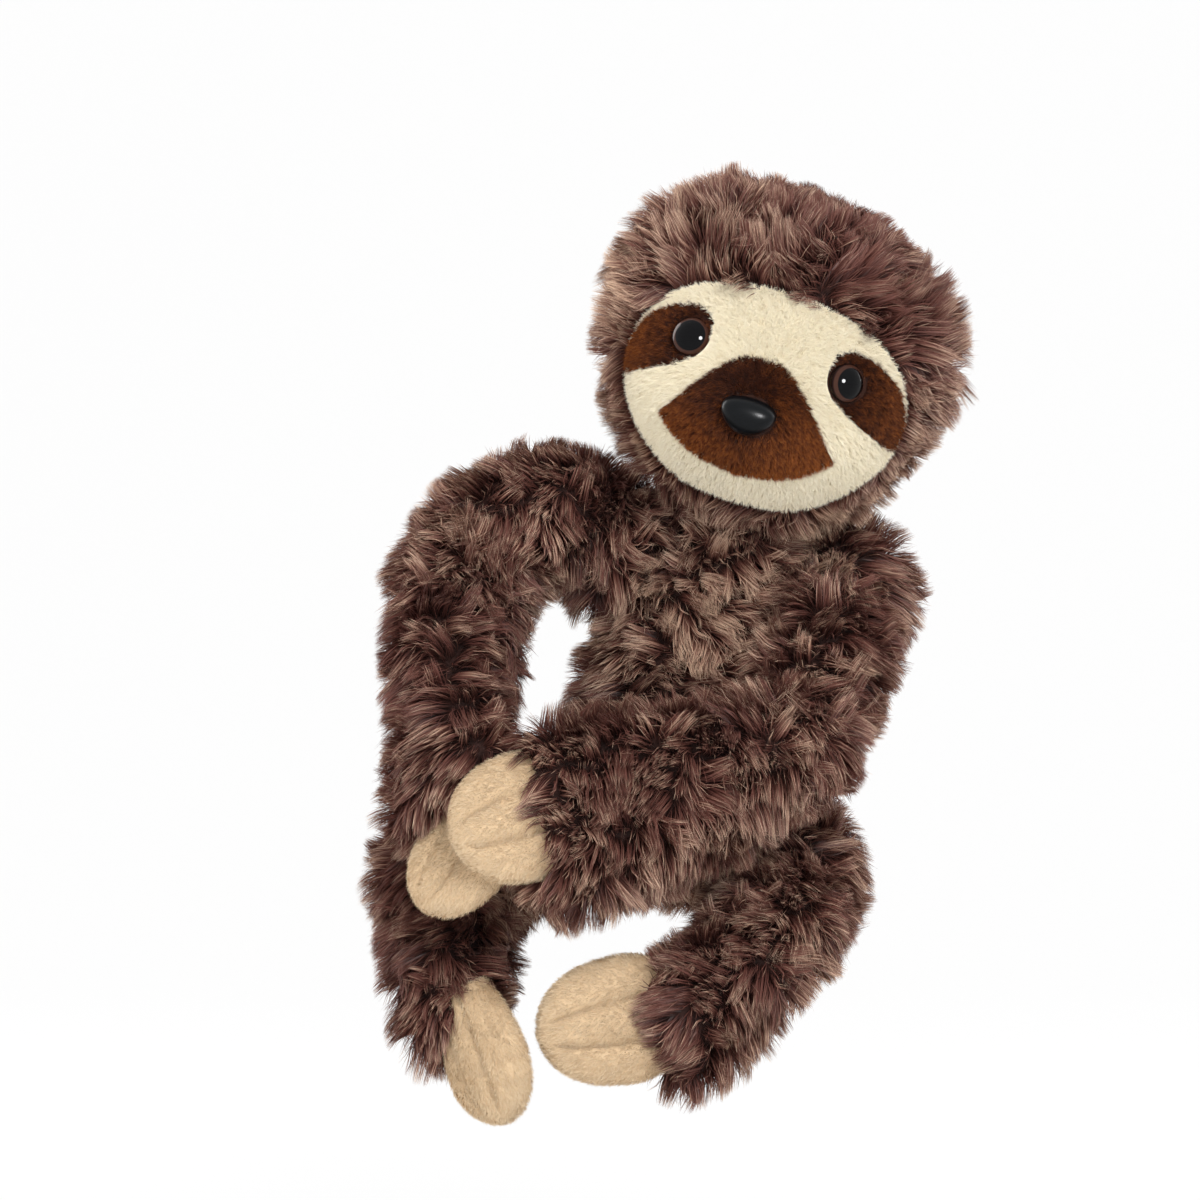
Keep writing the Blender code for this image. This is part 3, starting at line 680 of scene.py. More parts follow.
# A limb's bend outwards and upwards, its half widths across, those outwards where they differ, and its ball
LIMB_FORMS = {
    "upper_arm_left": ((0.0045, 0.004), (0.0245, 0.0240, 0.0200), None, 0.0280),
    "upper_arm_right": ((0.002, 0.035), (0.0215, 0.0248, 0.0236), None, 0.0255),
    "forearm_left": ((0.006, -0.0065), (0.0215, 0.0310, 0.0340), (0.0215, 0.0205, 0.0200), 0.0222),
    "forearm_right": ((0.007, 0.0), (0.0235, 0.0300, 0.0330), (0.0235, 0.0200, 0.0195), 0.0240),
    "thigh_left": ((0.012, 0.006), (0.0215, 0.0260, 0.0225), None, 0.0240),
    "thigh_right": ((0.006, 0.0), (0.0200, 0.0240, 0.0255), None, 0.0230),
    "shin_left": ((0.001, -0.006), (0.0225, 0.0250, 0.0240), (0.0225, 0.0210, 0.0200), 0.0232),
    "shin_right": ((0.005, 0.0), (0.0245, 0.0228, 0.0190), (0.0240, 0.0210, 0.0185), 0.0265),
}
END_DOMES = {"forearm_": 0.15, "shin_": 0.20}
LIMBS = {}
for name, sign in (("left", 1), ("right", -1)):
    place = PLACES[name]
    ends = {
        "upper_arm_": (root(0.83, 0.84, sign), place["elbow"]),
        "forearm_": (place["elbow"], place["wrist"]),
        "thigh_": (root(0.20, 0.68, sign, 0.007), place["knee"]),
        "shin_": (place["knee"], place["ankle"]),
    }
    for part, (first, last) in ends.items():
        bend, widths, depths, _ = LIMB_FORMS[part + name]
        path = bow(first, last, *bend)
        LIMBS[part + name] = Tube(path, widths, depths or widths, away, 0.0, END_DOMES.get(part, 0.0), 3.6)


def ball_grid(centre, radius):
    """The ball of fabric at the root of a limb, or at the neck."""
    return grid_mesh(centre + globe(np.linspace(0.02, np.pi - 0.02, 21), 32) * radius)


def stuffed(obj, *node_names):
    """Hides the solids of these nodes, which the padded form stands in for."""
    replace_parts(obj, *node_names)


def furry(body, meshes, flow_of, seed, keep, length_of, **style):
    """The stuffed backing of one body and the pile that stands on it."""
    rng = np.random.default_rng(seed)
    spots, vertices, faces, offset = [], [], [], 0
    for points, corners in meshes:
        corners, around, areas = facing_out(points, corners)
        count = int(areas.sum() * HAIRS_PER_M2 * SCARCE)
        spots.append(scatter(points, corners, around, areas, count, rng))
        vertices.append(points)
        faces.append(corners + offset)
        offset += len(points)
    places, normals = (np.concatenate(part) for part in zip(*spots))
    kept = keep(places)
    places, normals = places[kept], normals[kept]
    flow = tangent_part(flow_of(places), normals)
    length = length_of(places)
    backing = mesh_object(body + "_backing", np.concatenate(vertices), np.concatenate(faces))
    dress(backing, FUR_BASE, body)
    for part in pile(body + "_pile", places, normals, flow, length, rng, **style):
        dress(part, FUR, body)
    return backing


DOWN = np.array([0, 0, -1.0])


def gust(points, size, seed, strength):
    """Directions that wander over swells of this size."""
    return np.stack([waves(points, size, seed + step) for step in range(3)], -1) * strength


def to_head(points):
    return (points - HEAD_MIDDLE) @ HEAD_TURN


def to_world(points):
    return points @ HEAD_TURN.T + HEAD_MIDDLE


def head_depth(points):
    return (1 - np.linalg.norm(to_head(points) / HEAD_SIZE, axis=1)) * 0.055


def make_torso():
    neck_ball = NECK_RADIUS - ROOT_DEPTH
    neck = ball_grid(NECK, neck_ball)
    body = TORSO.grid(-ROOT_DEPTH)

    def keep(points):
        inside_neck = distance(points, NECK) < neck_ball - 0.001
        return (head_depth(points) < 0.008) & ~inside_neck

    def flow(points):
        gusts = gust(points, 0.032, 31, 0.55) + gust(points, 0.013, 41, 0.35)
        return DOWN * 0.75 + np.array([0.35, 0, 0]) + gusts

    def length_of(points):
        return np.full(len(points), PILE_LENGTH)

    backing = furry("torso", [body, neck], flow, 11, keep, length_of)
    stuffed(backing, "torso_skin", "torso_filling")


class Paw:
    """A flat paw: its frame, its half width and half thickness, and its middle sheet, sunk at the root."""

    def __init__(self, start, end, sunk, shape):
        start, end = np.array(start), np.array(end)
        self.sunk, self.shape = sunk, shape
        out = away((start + end) / 2)
        self.along = unit(end - start)
        self.out = unit(out - self.along * (out @ self.along))
        self.across = np.cross(self.along, self.out)
        self.start = start - self.along * PAW_TUCK
        self.length = np.linalg.norm(end - self.start)

    def round_off(self, share):
        part = clamp((share - 0.58) / 0.42)
        return np.sqrt(1 - part**2.3)

    def width(self, share):
        return PAW_HALF * spline(self.shape, share) * self.round_off(share)

    def sheet(self, share, place):
        return -(0.0018 * share**2 + self.sunk * (1 - share) ** 2 + 0.0022 * place**2)

    def local(self, points):
        """Shares of the length and of the half width, and the height over the middle sheet."""
        rest = points - self.start
        share = rest @ self.along / self.length
        inner = clamp(share)
        place = rest @ self.across / np.maximum(self.width(inner), 1e-4)
        return share, place, rest @ self.out - self.sheet(inner, np.clip(place, -1, 1))

    def dodge(self, lines):
        """Lays the hairs that would pierce the paw on its outer or its inner face."""
        share, place, high = self.local(lines)
        within = (share > 0) & (share < 1) & (np.abs(place) < 1.04)
        face = np.where(high[:, :1] > 0, 1.0, -1.0)
        room = PAW_THICK * self.round_off(clamp(share)) ** 0.7 * np.sqrt(clamp(1 - place**4)) + 0.0010
        shift = np.where(within & (face * high < room), face * room - high, 0)
        return lines + shift[..., None] * self.out


MATES = {"upper_arm": "forearm_", "forearm": "upper_arm_", "thigh": "shin_", "shin": "thigh_"}


def make_limb(body, seed):
    tube = LIMBS[body]
    part, side = body.rsplit("_", 1)
    lower = part in ("forearm", "shin")
    mate = LIMBS[MATES[part] + side]
    centre = tube.path(0.0)
    ball = LIMB_FORMS[body][3] - ROOT_DEPTH
    meshes = [tube.grid(-ROOT_DEPTH), ball_grid(centre, ball)]
    paw = Paw(*PLACES[side]["hand" if part == "forearm" else "foot"])
    along = unit(tube.path(1.0) - centre)

    def keep(points):
        off_ball = distance(points, centre) > ball - 0.0012
        off_body = TORSO.depth(points) < 0.010
        off_mate = mate.depth(points) < (0.013 if lower else 0.011)
        if not lower:
            return off_ball & off_body & off_mate
        share, place, high = paw.local(points)
        in_paw = (share > 0) & (share < 0.98) & (np.abs(place) < 0.97) & (np.abs(high) < PAW_THICK * 0.8)
        return off_ball & off_body & off_mate & ~in_paw

    def cuff(points):
        """1 where the pile folds over the root of the paw, 0 away from it."""
        if not lower:
            return np.zeros(len(points))
        share, place, high = paw.local(points)
        reach = np.exp(-((((share - 0.05) * paw.length) / 0.012) ** 2))
        return reach * clamp(2.4 - 2 * np.abs(place)) * (high > 0)

    def flow(points):
        near = cuff(points)[:, None]
        gusts = gust(points, 0.030, seed * 3, 0.75) + gust(points, 0.013, seed * 3 + 7, 0.45)
        return (DOWN * 0.7 + along * 0.45 + gusts) * (1 - 0.85 * near) + paw.along * 1.5 * near

    def length_of(points):
        """Shorter over the paw's root, and on the shoulder that the head lies against."""
        shoulder = swell(points[:, 0], points[:, 2], (-0.004, 0.117), (0.024, 0.018))
        return PILE_LENGTH * (1 - 0.32 * cuff(points) - 0.26 * shoulder)

    dodge = paw.dodge if lower else None
    backing = furry(body, meshes, flow, seed, keep, length_of, dodge=dodge)
    stuffed(backing, "%s_skin_%s" % (part, side), "%s_filling_%s" % (part, side))


# Head


def snout_bulge(x, z):
    return SNOUT["reach"] * swell(x, z, (0, -SNOUT["drop"]), (SNOUT["wide"], SNOUT["high"]))


def relief(x, z):
    """The stuffed face's full muzzle and cheeks, and its eyes, which their washers draw in."""
    hills = 0.0022 * swell(x, z, (0, -0.028), (0.021, 0.014))
    cheeks = 0.0014 * swell(np.abs(x), z, (0.036, -0.030), (0.012, 0.016))
    hollows = 0.0026 * swell(np.abs(x), z, (EYE_SPREAD, EYE_DROP), (0.0105, 0.0105))
    crease = 0.0012 * swell(np.abs(x), z, (0.024, -0.014), (0.008, 0.008))
    return hills + cheeks - hollows - crease


def head_grid(grow):
    ways = globe(np.linspace(0.012, 1, 64) ** 1.1 * np.pi * 0.996, 84)
    ways = np.stack([ways[..., 0], -ways[..., 2], ways[..., 1]], -1)
    points = ways * HEAD_SIZE
    points[..., 1] -= np.where(ways[..., 1] < 0, snout_bulge(points[..., 0], points[..., 2]), 0)
    fuller = 0.0075 * clamp((ways @ CROWN - 0.55) / 0.45) ** 1.5
    return points + unit(ways / HEAD_SIZE) * (grow + fuller)[..., None]


# Outlines on the face, in shares of the head's half width and half height
FACE = (
    (0, 0.355), (0.45, 0.29), (0.74, 0.13), (0.87, -0.10),
    (0.85, -0.40), (0.67, -0.67), (0.37, -0.87), (0, -0.92),
)
MUZZLE_TOP = ((0, -0.09), (0.12, -0.105), (0.28, -0.235), (0.42, -0.39), (0.53, -0.51))
MUZZLE_BOTTOM = ((0.53, -0.51), (0.41, -0.61), (0.24, -0.69), (0, -0.73))
EYE_PATCH = (
    (0.355, 0.02), (0.40, 0.11), (0.53, 0.125), (0.67, 0.08), (0.80, -0.01),
    (0.875, -0.17), (0.85, -0.345), (0.69, -0.305), (0.475, -0.215), (0.37, -0.11),
)


def curve_through(points, closed, steps=7):
    """A smooth curve through flat points."""
    points = np.array(points, float)
    if closed:
        points = np.concatenate([points[-1:], points, points[:2]])
        share = np.linspace(1, len(points) - 2, (len(points) - 3) * steps + 1)[:-1] / (len(points) - 1)
    else:
        share = np.linspace(0, 1, (len(points) - 1) * steps + 1)
    return np.stack([spline(points[:, axis], share) for axis in (0, 1)], -1)


def mirrored(half):
    """The closed line of a half line, from top to bottom, and its mirror image."""
    return np.concatenate([half, half[-2:0:-1] * np.array([-1, 1])])


SCALE = HEAD_SIZE[[0, 2]]
MUZZLE = np.concatenate([curve_through(MUZZLE_TOP, False)[:-1], curve_through(MUZZLE_BOTTOM, False)])
FACE_LINE = mirrored(curve_through(FACE, False)) * SCALE
MUZZLE_LINE = mirrored(MUZZLE) * SCALE
LEFT_PATCH_LINE = curve_through(EYE_PATCH, True) * SCALE
RIGHT_PATCH_LINE = LEFT_PATCH_LINE * np.array([-1, 1])


def inside(points, line):
    """Whether flat points lie inside a closed line."""
    x, z = points[:, 0], points[:, 1]
    found = np.zeros(len(points), bool)
    after = np.roll(line, -1, axis=0)
    for (x0, z0), (x1, z1) in zip(line, after):
        crosses = (z0 > z) != (z1 > z)
        if z1 != z0:
            found ^= crosses & (x < (x1 - x0) * (z - z0) / (z1 - z0) + x0)
    return found


def line_gap(points, line):
    """Distance of flat points from a closed line."""
    best = np.full(len(points), 1.0)
    after = np.roll(line, -1, axis=0)
    for first, second in zip(line, after):
        way = second - first
        part = clamp(((points - first) @ way) / max(way @ way, 1e-16))
        best = np.minimum(best, np.linalg.norm(points - first - part[:, None] * way, axis=1))
    return best


def face_surface(flat, lift=0.0):
    """Points of the face over flat places, raised by a lift and drawn in at the rim, and their normals."""
    x, z = flat[:, 0], flat[:, 1]

    def depth(x, z):
        left = 1 - (x / HEAD_SIZE[0]) ** 2 - (z / HEAD_SIZE[2]) ** 2
        return -HEAD_SIZE[1] * np.sqrt(np.maximum(left, 0.02)) - snout_bulge(x, z) - relief(x, z)

    step = 0.0004
    slope_x = (depth(x + step, z) - depth(x - step, z)) / (2 * step)
    slope_z = (depth(x, z + step) - depth(x, z - step)) / (2 * step)
    normal = unit(np.stack([slope_x, -np.ones_like(x), slope_z], -1))
    points = np.stack([x, depth(x, z), z], -1)
    rim = 0.0024 * np.exp(-((line_gap(flat, FACE_LINE) / 0.0055) ** 2))
    return points + normal * np.reshape(lift - rim, (-1, 1)), normal


def lifted(flat, line, rise):
    """How high a patch of this rise stands over the panel at flat points."""
    return rise * clamp(line_gap(flat, line) / PATCH_EDGE) ** 0.5


def patch_mesh(line, rings, rise):
    """A patch of the face inside a line, raised in the middle and turned under at its edge."""
    middle = line.mean(0)
    flat = [middle[None]]
    for share in np.linspace(0, 1, rings + 1)[1:]:
        flat.append(middle + (line - middle) * share)
    flat = np.concatenate(flat)
    points, _ = face_surface(flat, lifted(flat, line, rise) - PATCH_SINK * (line_gap(flat, line) < 1e-5))
    count = len(line)
    near = np.arange(count)
    after = (near + 1) % count
    faces = [np.stack([np.zeros(count, int), 1 + near, 1 + after], -1)]
    for low in range(1, 1 + (rings - 1) * count, count):
        high = low + count
        faces.append(np.stack([low + near, high + near, high + after], -1))
        faces.append(np.stack([low + near, high + after, low + after], -1))
    faces = np.concatenate(faces)
    corners = points[faces]
    facing = np.cross(corners[:, 1] - corners[:, 0], corners[:, 2] - corners[:, 0]).sum(0)
    return points, faces[:, ::-1] if facing[1] > 0 else faces


def gap_to_trim(flat):
    """Distance of flat points from the edges of the eyes and the nose, below 0 under them."""
    x, z = flat[:, 0], flat[:, 1]
    eyes = np.hypot(np.abs(x) - EYE_SPREAD, z - EYE_DROP) - EYE_RADIUS
    nose = np.hypot(x, (z - NOSE_DROP) * 1.4) - 0.0085
    return np.minimum(eyes, nose)


def patch_flow(flat):
    """The face's brushed pile runs outwards from the nose and down."""
    way = unit(flat - np.array([0, NOSE_DROP])) * 0.75 + np.array([0, -0.60])
    return np.stack([way[:, 0], np.zeros(len(flat)), way[:, 1]], -1)


def face_pile(name, line, rise, seed, look, shade_of, wisp_tone, holes=()):
    """Short brushed pile inside a line but for its holes, shorter near the line, the eyes and the nose."""
    rng = np.random.default_rng(seed)
    low, high = FACE_LINE.min(0), FACE_LINE.max(0)
    flat = rng.uniform(low, high, (FACE_HAIRS, 2))
    kept = inside(flat, line) & (gap_to_trim(flat) > 0.0002)
    for hole in holes:
        kept &= ~inside(flat, hole)
    flat = flat[kept]
    points, normals = face_surface(flat, lifted(flat, line, rise))
    area = (high - low).prod() * len(flat) / FACE_HAIRS
    shorter = np.clip(0.70 + line_gap(flat, line) / 0.004, 0.70, 1)
    shorter *= np.clip(0.35 + gap_to_trim(flat) / 0.004, 0.35, 1)
    lines, own, wisps = brushed_lines(points, normals, patch_flow(flat), area, rng, FACE_STYLE, shorter)
    shade = shade_of(flat, rng) + wisp_tone * (rng.random(wisps)[own] - 0.5)
    hair = ribbons(name, to_world(lines), normals @ HEAD_TURN.T, FACE_STYLE["width"], shade, rng)
    dress(hair, look, "head")


# Where the head's pile is shorter or longer, as in the photograph: place, size and share of its length
HEAD_TRIMS = (
    ((0.086, 0.205), (0.026, 0.018), 0.45),
    ((0.112, 0.186), (0.018, 0.018), 0.22),
    ((0.112, 0.112), (0.020, 0.020), 0.32),
    ((0.124, 0.157), (0.018, 0.020), -0.25),
)


def make_head():
    vertices, faces = grid_mesh(head_grid(-HEAD_ROOT_DEPTH))

    def over(points):
        """The roots' places on the face of the solid above them, in the head's frame."""
        local = to_head(points)
        return local + unit(local / HEAD_SIZE**2) * HEAD_ROOT_DEPTH

    def keep(points):
        place = over(points)
        spot = place[:, (0, 2)]
        covered = inside(spot, FACE_LINE) & (place[:, 1] < 0) & (line_gap(spot, FACE_LINE) > 0.0006)
        return ~covered & (distance(points, NECK) > 0.025)

    def flow(points):
        local = to_head(points)
        radial = local * np.array([1.0, 0, 1.0])
        radial[:, 2] += 0.016
        radial = unit(radial)
        chin = clamp((-0.012 - local[:, 2]) / 0.02) * (local[:, 1] < 0.01)
        radial[:, 1] += 0.50 - 0.60 * chin
        place = over(points)
        rim = (line_gap(place[:, (0, 2)], FACE_LINE) < 0.0045) & (place[:, 1] < 0)
        inwards = rim & (np.random.default_rng(18).random(len(points)) < 0.38)
        radial = np.where(inwards[:, None], -1.3 * radial, radial)
        turned = radial @ HEAD_TURN.T
        return turned + DOWN * 0.25 + gust(points, 0.030, 51, 0.70) + gust(points, 0.012, 61, 0.40)

    def length_of(points):
        place = over(points)
        near = clamp(1 - line_gap(place[:, (0, 2)], FACE_LINE) / 0.009) * (place[:, 1] < 0)
        shorter = 0.30 * near
        for middle, size, gain in HEAD_TRIMS:
            shorter += gain * swell(points[:, 0], points[:, 2], middle, size)
        return HEAD_PILE_LENGTH * (1 - shorter)

    backing = furry("head", [(to_world(vertices), faces)], flow, 17, keep, length_of, lift=0.36)
    stuffed(backing, "head_skin", "head_filling")


def streaks(flat, rng, seed):
    """Noise from hair to hair, and some drawn out along the brushing."""
    fan = flat[:, 0] * (1 + 6 * flat[:, 1])
    total = rng.normal(size=len(flat))
    for gain, size, stretch, step in ((0.7, 0.0010, 0.30, 0), (0.5, 0.0028, 0.40, 10)):
        places = np.stack([fan, flat[:, 1] * stretch, np.zeros(len(flat))], -1)
        total += gain * waves(places, size, seed + step)
    return 0.16 * total


def cream_shade(flat, rng):
    return 0.55 + streaks(flat, rng, 70)


def muzzle_shade(flat, rng):
    """Dark round the nose and paler below it and to the left side."""
    x, z = flat[:, 0], flat[:, 1]
    below = 0.60 * clamp((-0.014 - z) / 0.020)
    near_nose = 0.30 * swell(x, z, (-0.005, NOSE_DROP), (0.013, 0.011))
    aside = 0.12 * clamp(-x / 0.025) + 0.30 * clamp(x / 0.018)
    return 0.01 + aside + below - near_nose + streaks(flat, rng, 71)


def patch_shade(flat, rng):
    outer = clamp((np.abs(flat[:, 0]) - 0.028) / 0.014)
    return 0.46 * outer - 0.03 + streaks(flat, rng, 73)


def make_minky(name, line, rings, rise, look, replaced):
    """The backing fabric inside a line."""
    points, faces = patch_mesh(line, rings, rise)
    obj = mesh_object(name, to_world(points), faces)
    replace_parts(dress(obj, look, "head"), replaced)


def make_face():
    patches = (
        ("muzzle_%s", MUZZLE_LINE, MUZZLE_RISE, "muzzle_patch", 82, muzzle_shade),
        ("eye_%s_left", LEFT_PATCH_LINE, EYE_PATCH_RISE, "eye_patch_left", 83, patch_shade),
        ("eye_%s_right", RIGHT_PATCH_LINE, EYE_PATCH_RISE, "eye_patch_right", 84, patch_shade),
    )
    holes = (MUZZLE_LINE, LEFT_PATCH_LINE, RIGHT_PATCH_LINE)
    make_minky("face_minky", FACE_LINE, 40, 0.0, CREAM_BASE, "face_panel")
    for name, line, rise, replaced, _, _ in patches:
        make_minky(name % "minky", line, 22, rise, BROWN_BASE, replaced)
    face_pile("face_pile", FACE_LINE, 0.0, 81, CREAM_PILE, cream_shade, 0.35, holes)
    for name, line, rise, _, seed, shade_of in patches:
        face_pile(name % "pile", line, rise, seed, BROWN_PILE, shade_of, 0.52)


# Eyes and nose


CAP_STEPS = 24
CAP_SIDES = 48
CAP_MIDDLE = 0.02


def cap_mesh(x, z, outline, profile, turned=0.0):
    """A cap on the face: its outline goes by the turn, and its profile from the middle to the edge."""
    base, normal = face_surface(np.array([[x, z]]))
    normal = np.array(Matrix.Rotation(turned, 3, "Z") @ Vector(normal[0]))
    side = unit(np.cross(np.array([0, 0, 1.0]), normal))
    upward = np.cross(normal, side)
    edge = outline(np.arange(CAP_SIDES) * 2 * np.pi / CAP_SIDES) @ np.stack([side, upward])
    rings = []
    for share in np.linspace(CAP_MIDDLE, 1, CAP_STEPS):
        rings.append(base + edge * share + normal * profile(share))
    rings.append(base + edge - normal * 0.003)
    vertices, faces = grid_mesh(np.array(rings))
    return to_world(vertices), facing_out(vertices, faces)[0]


def cap_map(faces):
    """The cap's map: round it across, from its middle to its edge upwards."""
    reach = np.concatenate([np.linspace(CAP_MIDDLE, 1, CAP_STEPS), [1.0]]).repeat(CAP_SIDES)
    across = np.tile(np.arange(CAP_SIDES) / CAP_SIDES, CAP_STEPS + 1)
    reach, across = np.append(reach, (0.0, 1.0)), np.append(across, (0.5, 0.5))
    return np.stack([0.02 + 0.96 * across, 0.01 + 0.98 * reach], -1)[faces.ravel()]


def round_edge(radius):
    return lambda turn: np.stack([np.cos(turn), np.sin(turn)], -1) * radius


def eye_profile(share):
    high, low = (math.sqrt(EYE_CURVE**2 - (EYE_RADIUS * part) ** 2) for part in (share, 1))
    return 0.0018 + high - low


def nose_edge(turn):
    wide = 0.0092 * np.cos(turn) * (1 + 0.20 * np.sin(turn))
    high = 0.0066 * np.sin(turn) * np.where(np.sin(turn) > 0, 0.86, 1.06)
    return np.stack([wide, high], -1)


def nose_profile(share):
    return 0.0014 + 0.0056 * math.sqrt(max(1 - share**2.4, 0))


def eye_material():
    made, tree, principled = shader("eye_plastic", 0.05, 0.13)
    pupil, iris, edge = (0.0015, 0.0015, 0.002), (0.052, 0.021, 0.014), (0.010, 0.004, 0.003)
    stops = ((0.0, pupil), (0.77, pupil), (0.81, iris), (0.92, iris), (0.97, edge))
    wire(tree, principled, {"Base Color": ramp(tree, stops, own_map(tree)[1])})
    return made


def nose_material():
    stops = ((0.3, (0.001, 0.0015, 0.002)), (0.7, (0.003, 0.0038, 0.005)))
    return speckled_material("nose_plastic", stops, (2200, 2), (0.15, 0.0001), 0.31, 0.16)


def make_trim():
    look = eye_material()
    for name, x, turned in (("left", EYE_SPREAD, EYE_TURNS[0]), ("right", -EYE_SPREAD, EYE_TURNS[1])):
        vertices, faces = cap_mesh(x, EYE_DROP, round_edge(EYE_RADIUS), eye_profile, turned)
        eye = mesh_object("eye_gloss_" + name, vertices, faces, cap_map(faces))
        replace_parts(dress(eye, look, "head"), "eye_" + name)
    nose = mesh_object("nose_satin", *cap_mesh(0, NOSE_DROP, nose_edge, nose_profile))
    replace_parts(dress(nose, nose_material(), "head"), "nose")


def make_washers():
    look = cloth_material("washer_plastic", (0.75, 0.75, 0.72), (0.70, 0.70, 0.67), 300, 0.45, 0.5)
    for name in ("eye_washer_left", "eye_washer_right", "nose_washer"):
        paint(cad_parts[name], look)


# Paws


def paw_form(paw, steps=72, sides=160):
    """A flat stuffed mitten whose seams part three fingers, and how near each vertex lies to a seam."""
    share = np.sin(np.pi / 2 * np.linspace(0, 1, steps + 1)) ** 0.9
    turn = np.arange(sides) * 2 * np.pi / sides
    share, turn = np.meshgrid(share, turn, indexing="ij")
    place = np.cos(turn)
    seam_gap = np.abs(np.abs(place) - (0.36 - 0.06 * share))
    on_seam = clamp((0.93 - share) / 0.10)
    valley = np.exp(-((seam_gap / 0.12) ** 2)) * on_seam
    stitch = np.exp(-((seam_gap / 0.030) ** 2)) * on_seam
    bowed = np.sign(np.sin(turn)) * np.abs(np.sin(turn)) ** 0.75
    deep = PAW_THICK * paw.round_off(share) ** 0.7 * bowed * (1.04 - 0.21 * valley - 0.17 * stitch)
    far = share * paw.length * (1.0 - 0.012 * place**2 * share**3)
    wide = paw.width(share) * place
    high = deep + paw.sheet(share, place)
    points = paw.start + np.stack([far, wide, high], -1) @ np.stack([paw.along, paw.across, paw.out])
    return *grid_mesh(points), np.append(stitch.ravel(), (0, 0))


def paw_places(vertices, faces, normals, areas, seams, rng):
    """Random places over the paw, with their normals, thinned out on its seams."""
    count = int(areas.sum() * PAW_HAIRS_PER_M2 * SCARCE)
    corners = faces[rng.choice(len(faces), count, p=areas / areas.sum())]
    shares = rng.dirichlet((1, 1, 1), count)
    open_fur = (seams[corners] * shares).sum(1) < 0.70
    corners, shares = corners[open_fur], shares[open_fur][..., None]
    return (vertices[corners] * shares).sum(1), unit((normals[corners] * shares).sum(1))


def make_paw(name, body, form, seed):
    paw = Paw(*form)
    vertices, faces, seams = paw_form(paw)
    faces, normals, areas = facing_out(vertices, faces)
    obj = mesh_object(name + "_minky", vertices, faces)
    stuffed(dress(obj, BEIGE_BASE, body), name)
    rng = np.random.default_rng(seed)
    places, ways = paw_places(vertices, faces, normals, areas, seams, rng)
    flow = paw.along + gust(places, 0.012, seed, 0.30)
    lines, own, wisps = brushed_lines(places, ways, flow, areas.sum(), rng, PAW_STYLE)
    shade = 0.44 + 0.12 * rng.normal(size=len(places)) + 0.14 * waves(places, 0.008, seed + 3)
    shade += 0.12 * rng.random(wisps)[own]
    hair = ribbons(name + "_pile", lines, ways, PAW_STYLE["width"], shade, rng)
    dress(hair, BEIGE_PILE, body)


# The picture: floor, lights and camera


def area_light(name, place, target, size, power):
    lamp = bpy.data.lights.new(name, "AREA")
    lamp.shape = "RECTANGLE"
    lamp.size, lamp.size_y = size
    lamp.energy = power
    obj = new_object(name, lamp)
    obj.location = place
    obj.rotation_mode = "QUATERNION"
    obj.rotation_quaternion = (Vector(target) - Vector(place)).to_track_quat("-Z", "Y")
    return obj


def seen_share(tree, seen, lit):
    """The first value for rays of the camera, gloss and glass, the second for the light on the object."""
    path = node(tree, "ShaderNodeLightPath", {}).outputs
    total = path["Is Camera Ray"]
    for ray in ("Is Glossy Ray", "Is Transmission Ray"):
        total = node(tree, "ShaderNodeMath", {0: total, 1: path[ray]}, operation="MAXIMUM").outputs[0]
    inputs = {0: total, 1: seen - lit, 2: lit}
    return node(tree, "ShaderNodeMath", inputs, operation="MULTIPLY_ADD").outputs[0]


def white_to_camera(tree, surface):
    """Keeps some of the lit surface, and its shadow, over a white that only the camera and gloss see."""
    glow = node(tree, "ShaderNodeEmission", {"Color": (1, 1, 1, 1), "Strength": 1.0}).outputs[0]
    share = seen_share(tree, 0.93, 0.0)
    return node(tree, "ShaderNodeMixShader", {0: share, 1: surface, 2: glow}).outputs[0]


FLOOR_Z = -0.165
WALL_Y = 2.2
WALL_HEIGHT = 4.0
WALL_BEND = 0.7
FLOOR_HALF = 4.0
MIDDLE = (0.03, 0.0, 0.05)


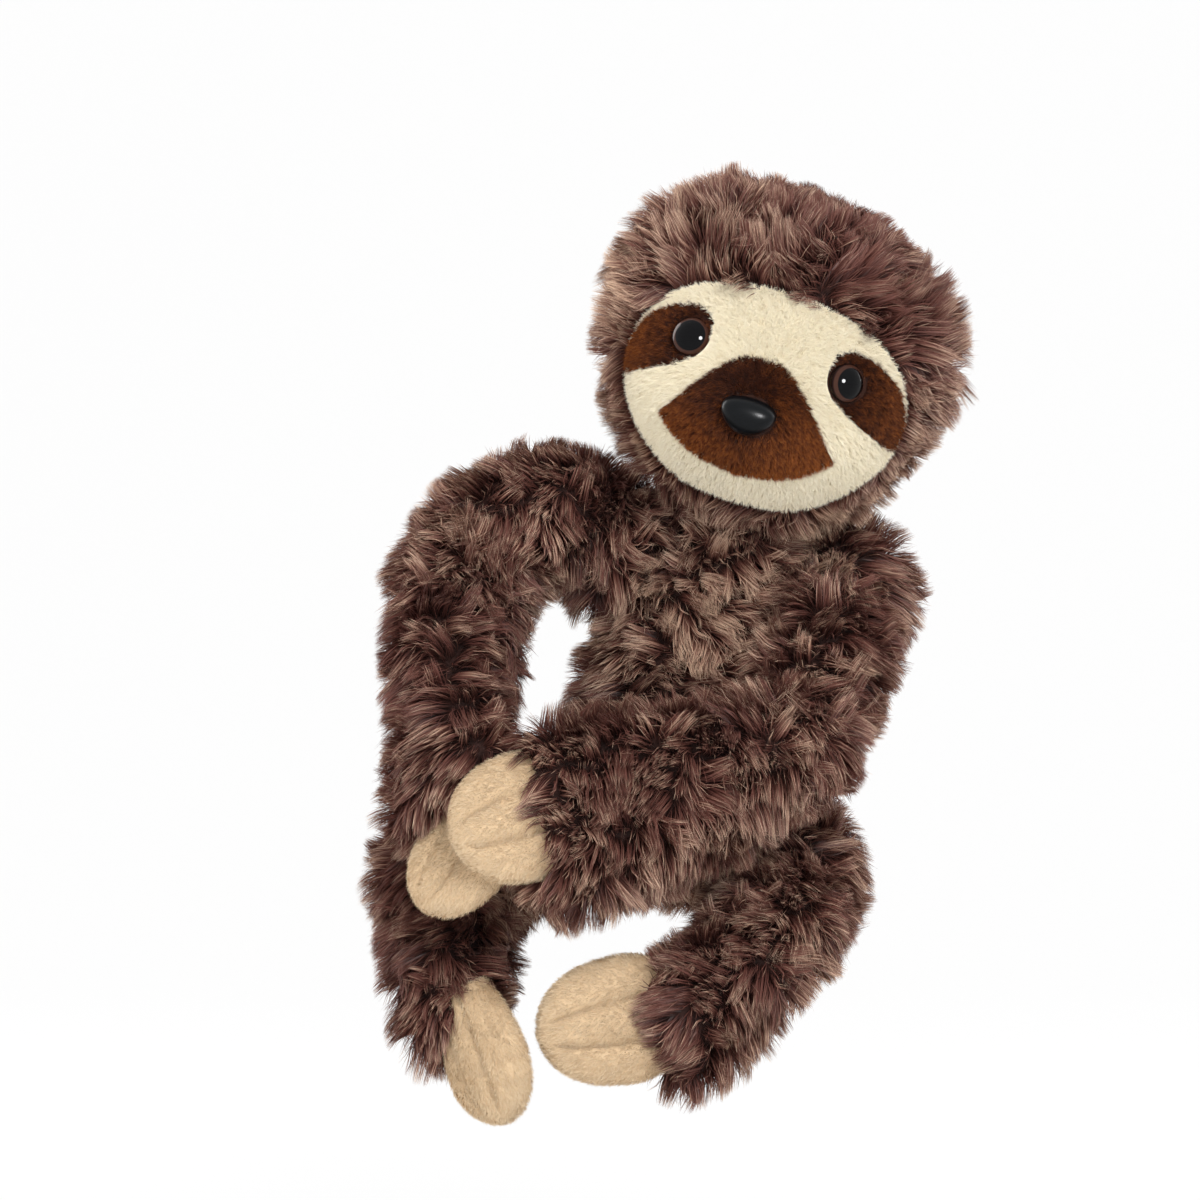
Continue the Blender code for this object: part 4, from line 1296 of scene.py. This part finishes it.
def make_floor():
    """A white floor that runs up into a wall behind the object."""
    made, tree, principled = shader("floor", 0.9, 0.5)
    wire(tree, principled, {"Base Color": (0.88, 0.88, 0.88, 1)})
    wire(tree, tree.nodes["Material Output"], {"Surface": white_to_camera(tree, principled.outputs[0])})
    line = [(-3.2, FLOOR_Z)]
    for turn in np.linspace(0, math.pi / 2, 13):
        line.append((WALL_Y - WALL_BEND * (1 - math.sin(turn)), FLOOR_Z + WALL_BEND * (1 - math.cos(turn))))
    line.append((WALL_Y, WALL_HEIGHT))
    vertices = np.array([(x, y, z) for y, z in line for x in (-FLOOR_HALF, FLOOR_HALF)])
    faces = np.arange(len(line) - 1)[:, None] * 2 + np.array([[0, 1, 3, 2]])
    floor = mesh_object("floor", vertices, faces)
    paint(floor, made)


def make_world():
    world = bpy.data.worlds.new("studio")
    bpy.context.scene.world = world
    world.use_nodes = True
    tree = world.node_tree
    wire(tree, tree.nodes["Background"], {"Color": (1, 1, 1, 1), "Strength": seen_share(tree, 1.0, 0.50)})


def make_lamps():
    """Soft lamps all round, and a small one that only gloss shows."""
    key = area_light("key", (0.55, -1.6, 1.20), MIDDLE, (0.9, 0.9), 28)
    fill = area_light("fill", (-1.1, -1.4, 0.05), MIDDLE, (1.0, 1.2), 15)
    area_light("rim_left", (-1.1, 0.9, 0.7), MIDDLE, (0.7, 1.2), 11)
    area_light("rim_right", (1.2, 0.8, 0.8), MIDDLE, (0.7, 1.2), 11)
    glint = area_light("glint", (0.80, -1.88, 0.34), (0.07, -0.03, 0.14), (0.56, 0.56), 72)
    glint.data.shape = "DISK"
    glint.visible_diffuse = False
    key.visible_glossy = fill.visible_glossy = False


def make_camera():
    camera = bpy.data.cameras.new("camera")
    camera.lens = 178
    camera.sensor_width = 36
    camera.clip_start, camera.clip_end = 0.05, 50
    obj = new_object("camera", camera)
    obj.location = (0.0135, -2.0, 0.0675)
    obj.rotation_euler = (math.pi / 2, 0, 0)
    bpy.context.scene.camera = obj
    bpy.context.scene.view_settings.view_transform = "Standard"


make_torso()
make_head()
make_face()
make_trim()
for seed, body in enumerate(sorted(LIMBS), 21):
    make_limb(body, seed)
for paw, limb, seeds in (("hand", "forearm_", (91, 92)), ("foot", "shin_", (93, 94))):
    for side, seed in zip(("left", "right"), seeds):
        make_paw(paw + "_" + side, limb + side, PLACES[side][paw], seed)
make_washers()
make_floor()
make_world()
make_lamps()
make_camera()
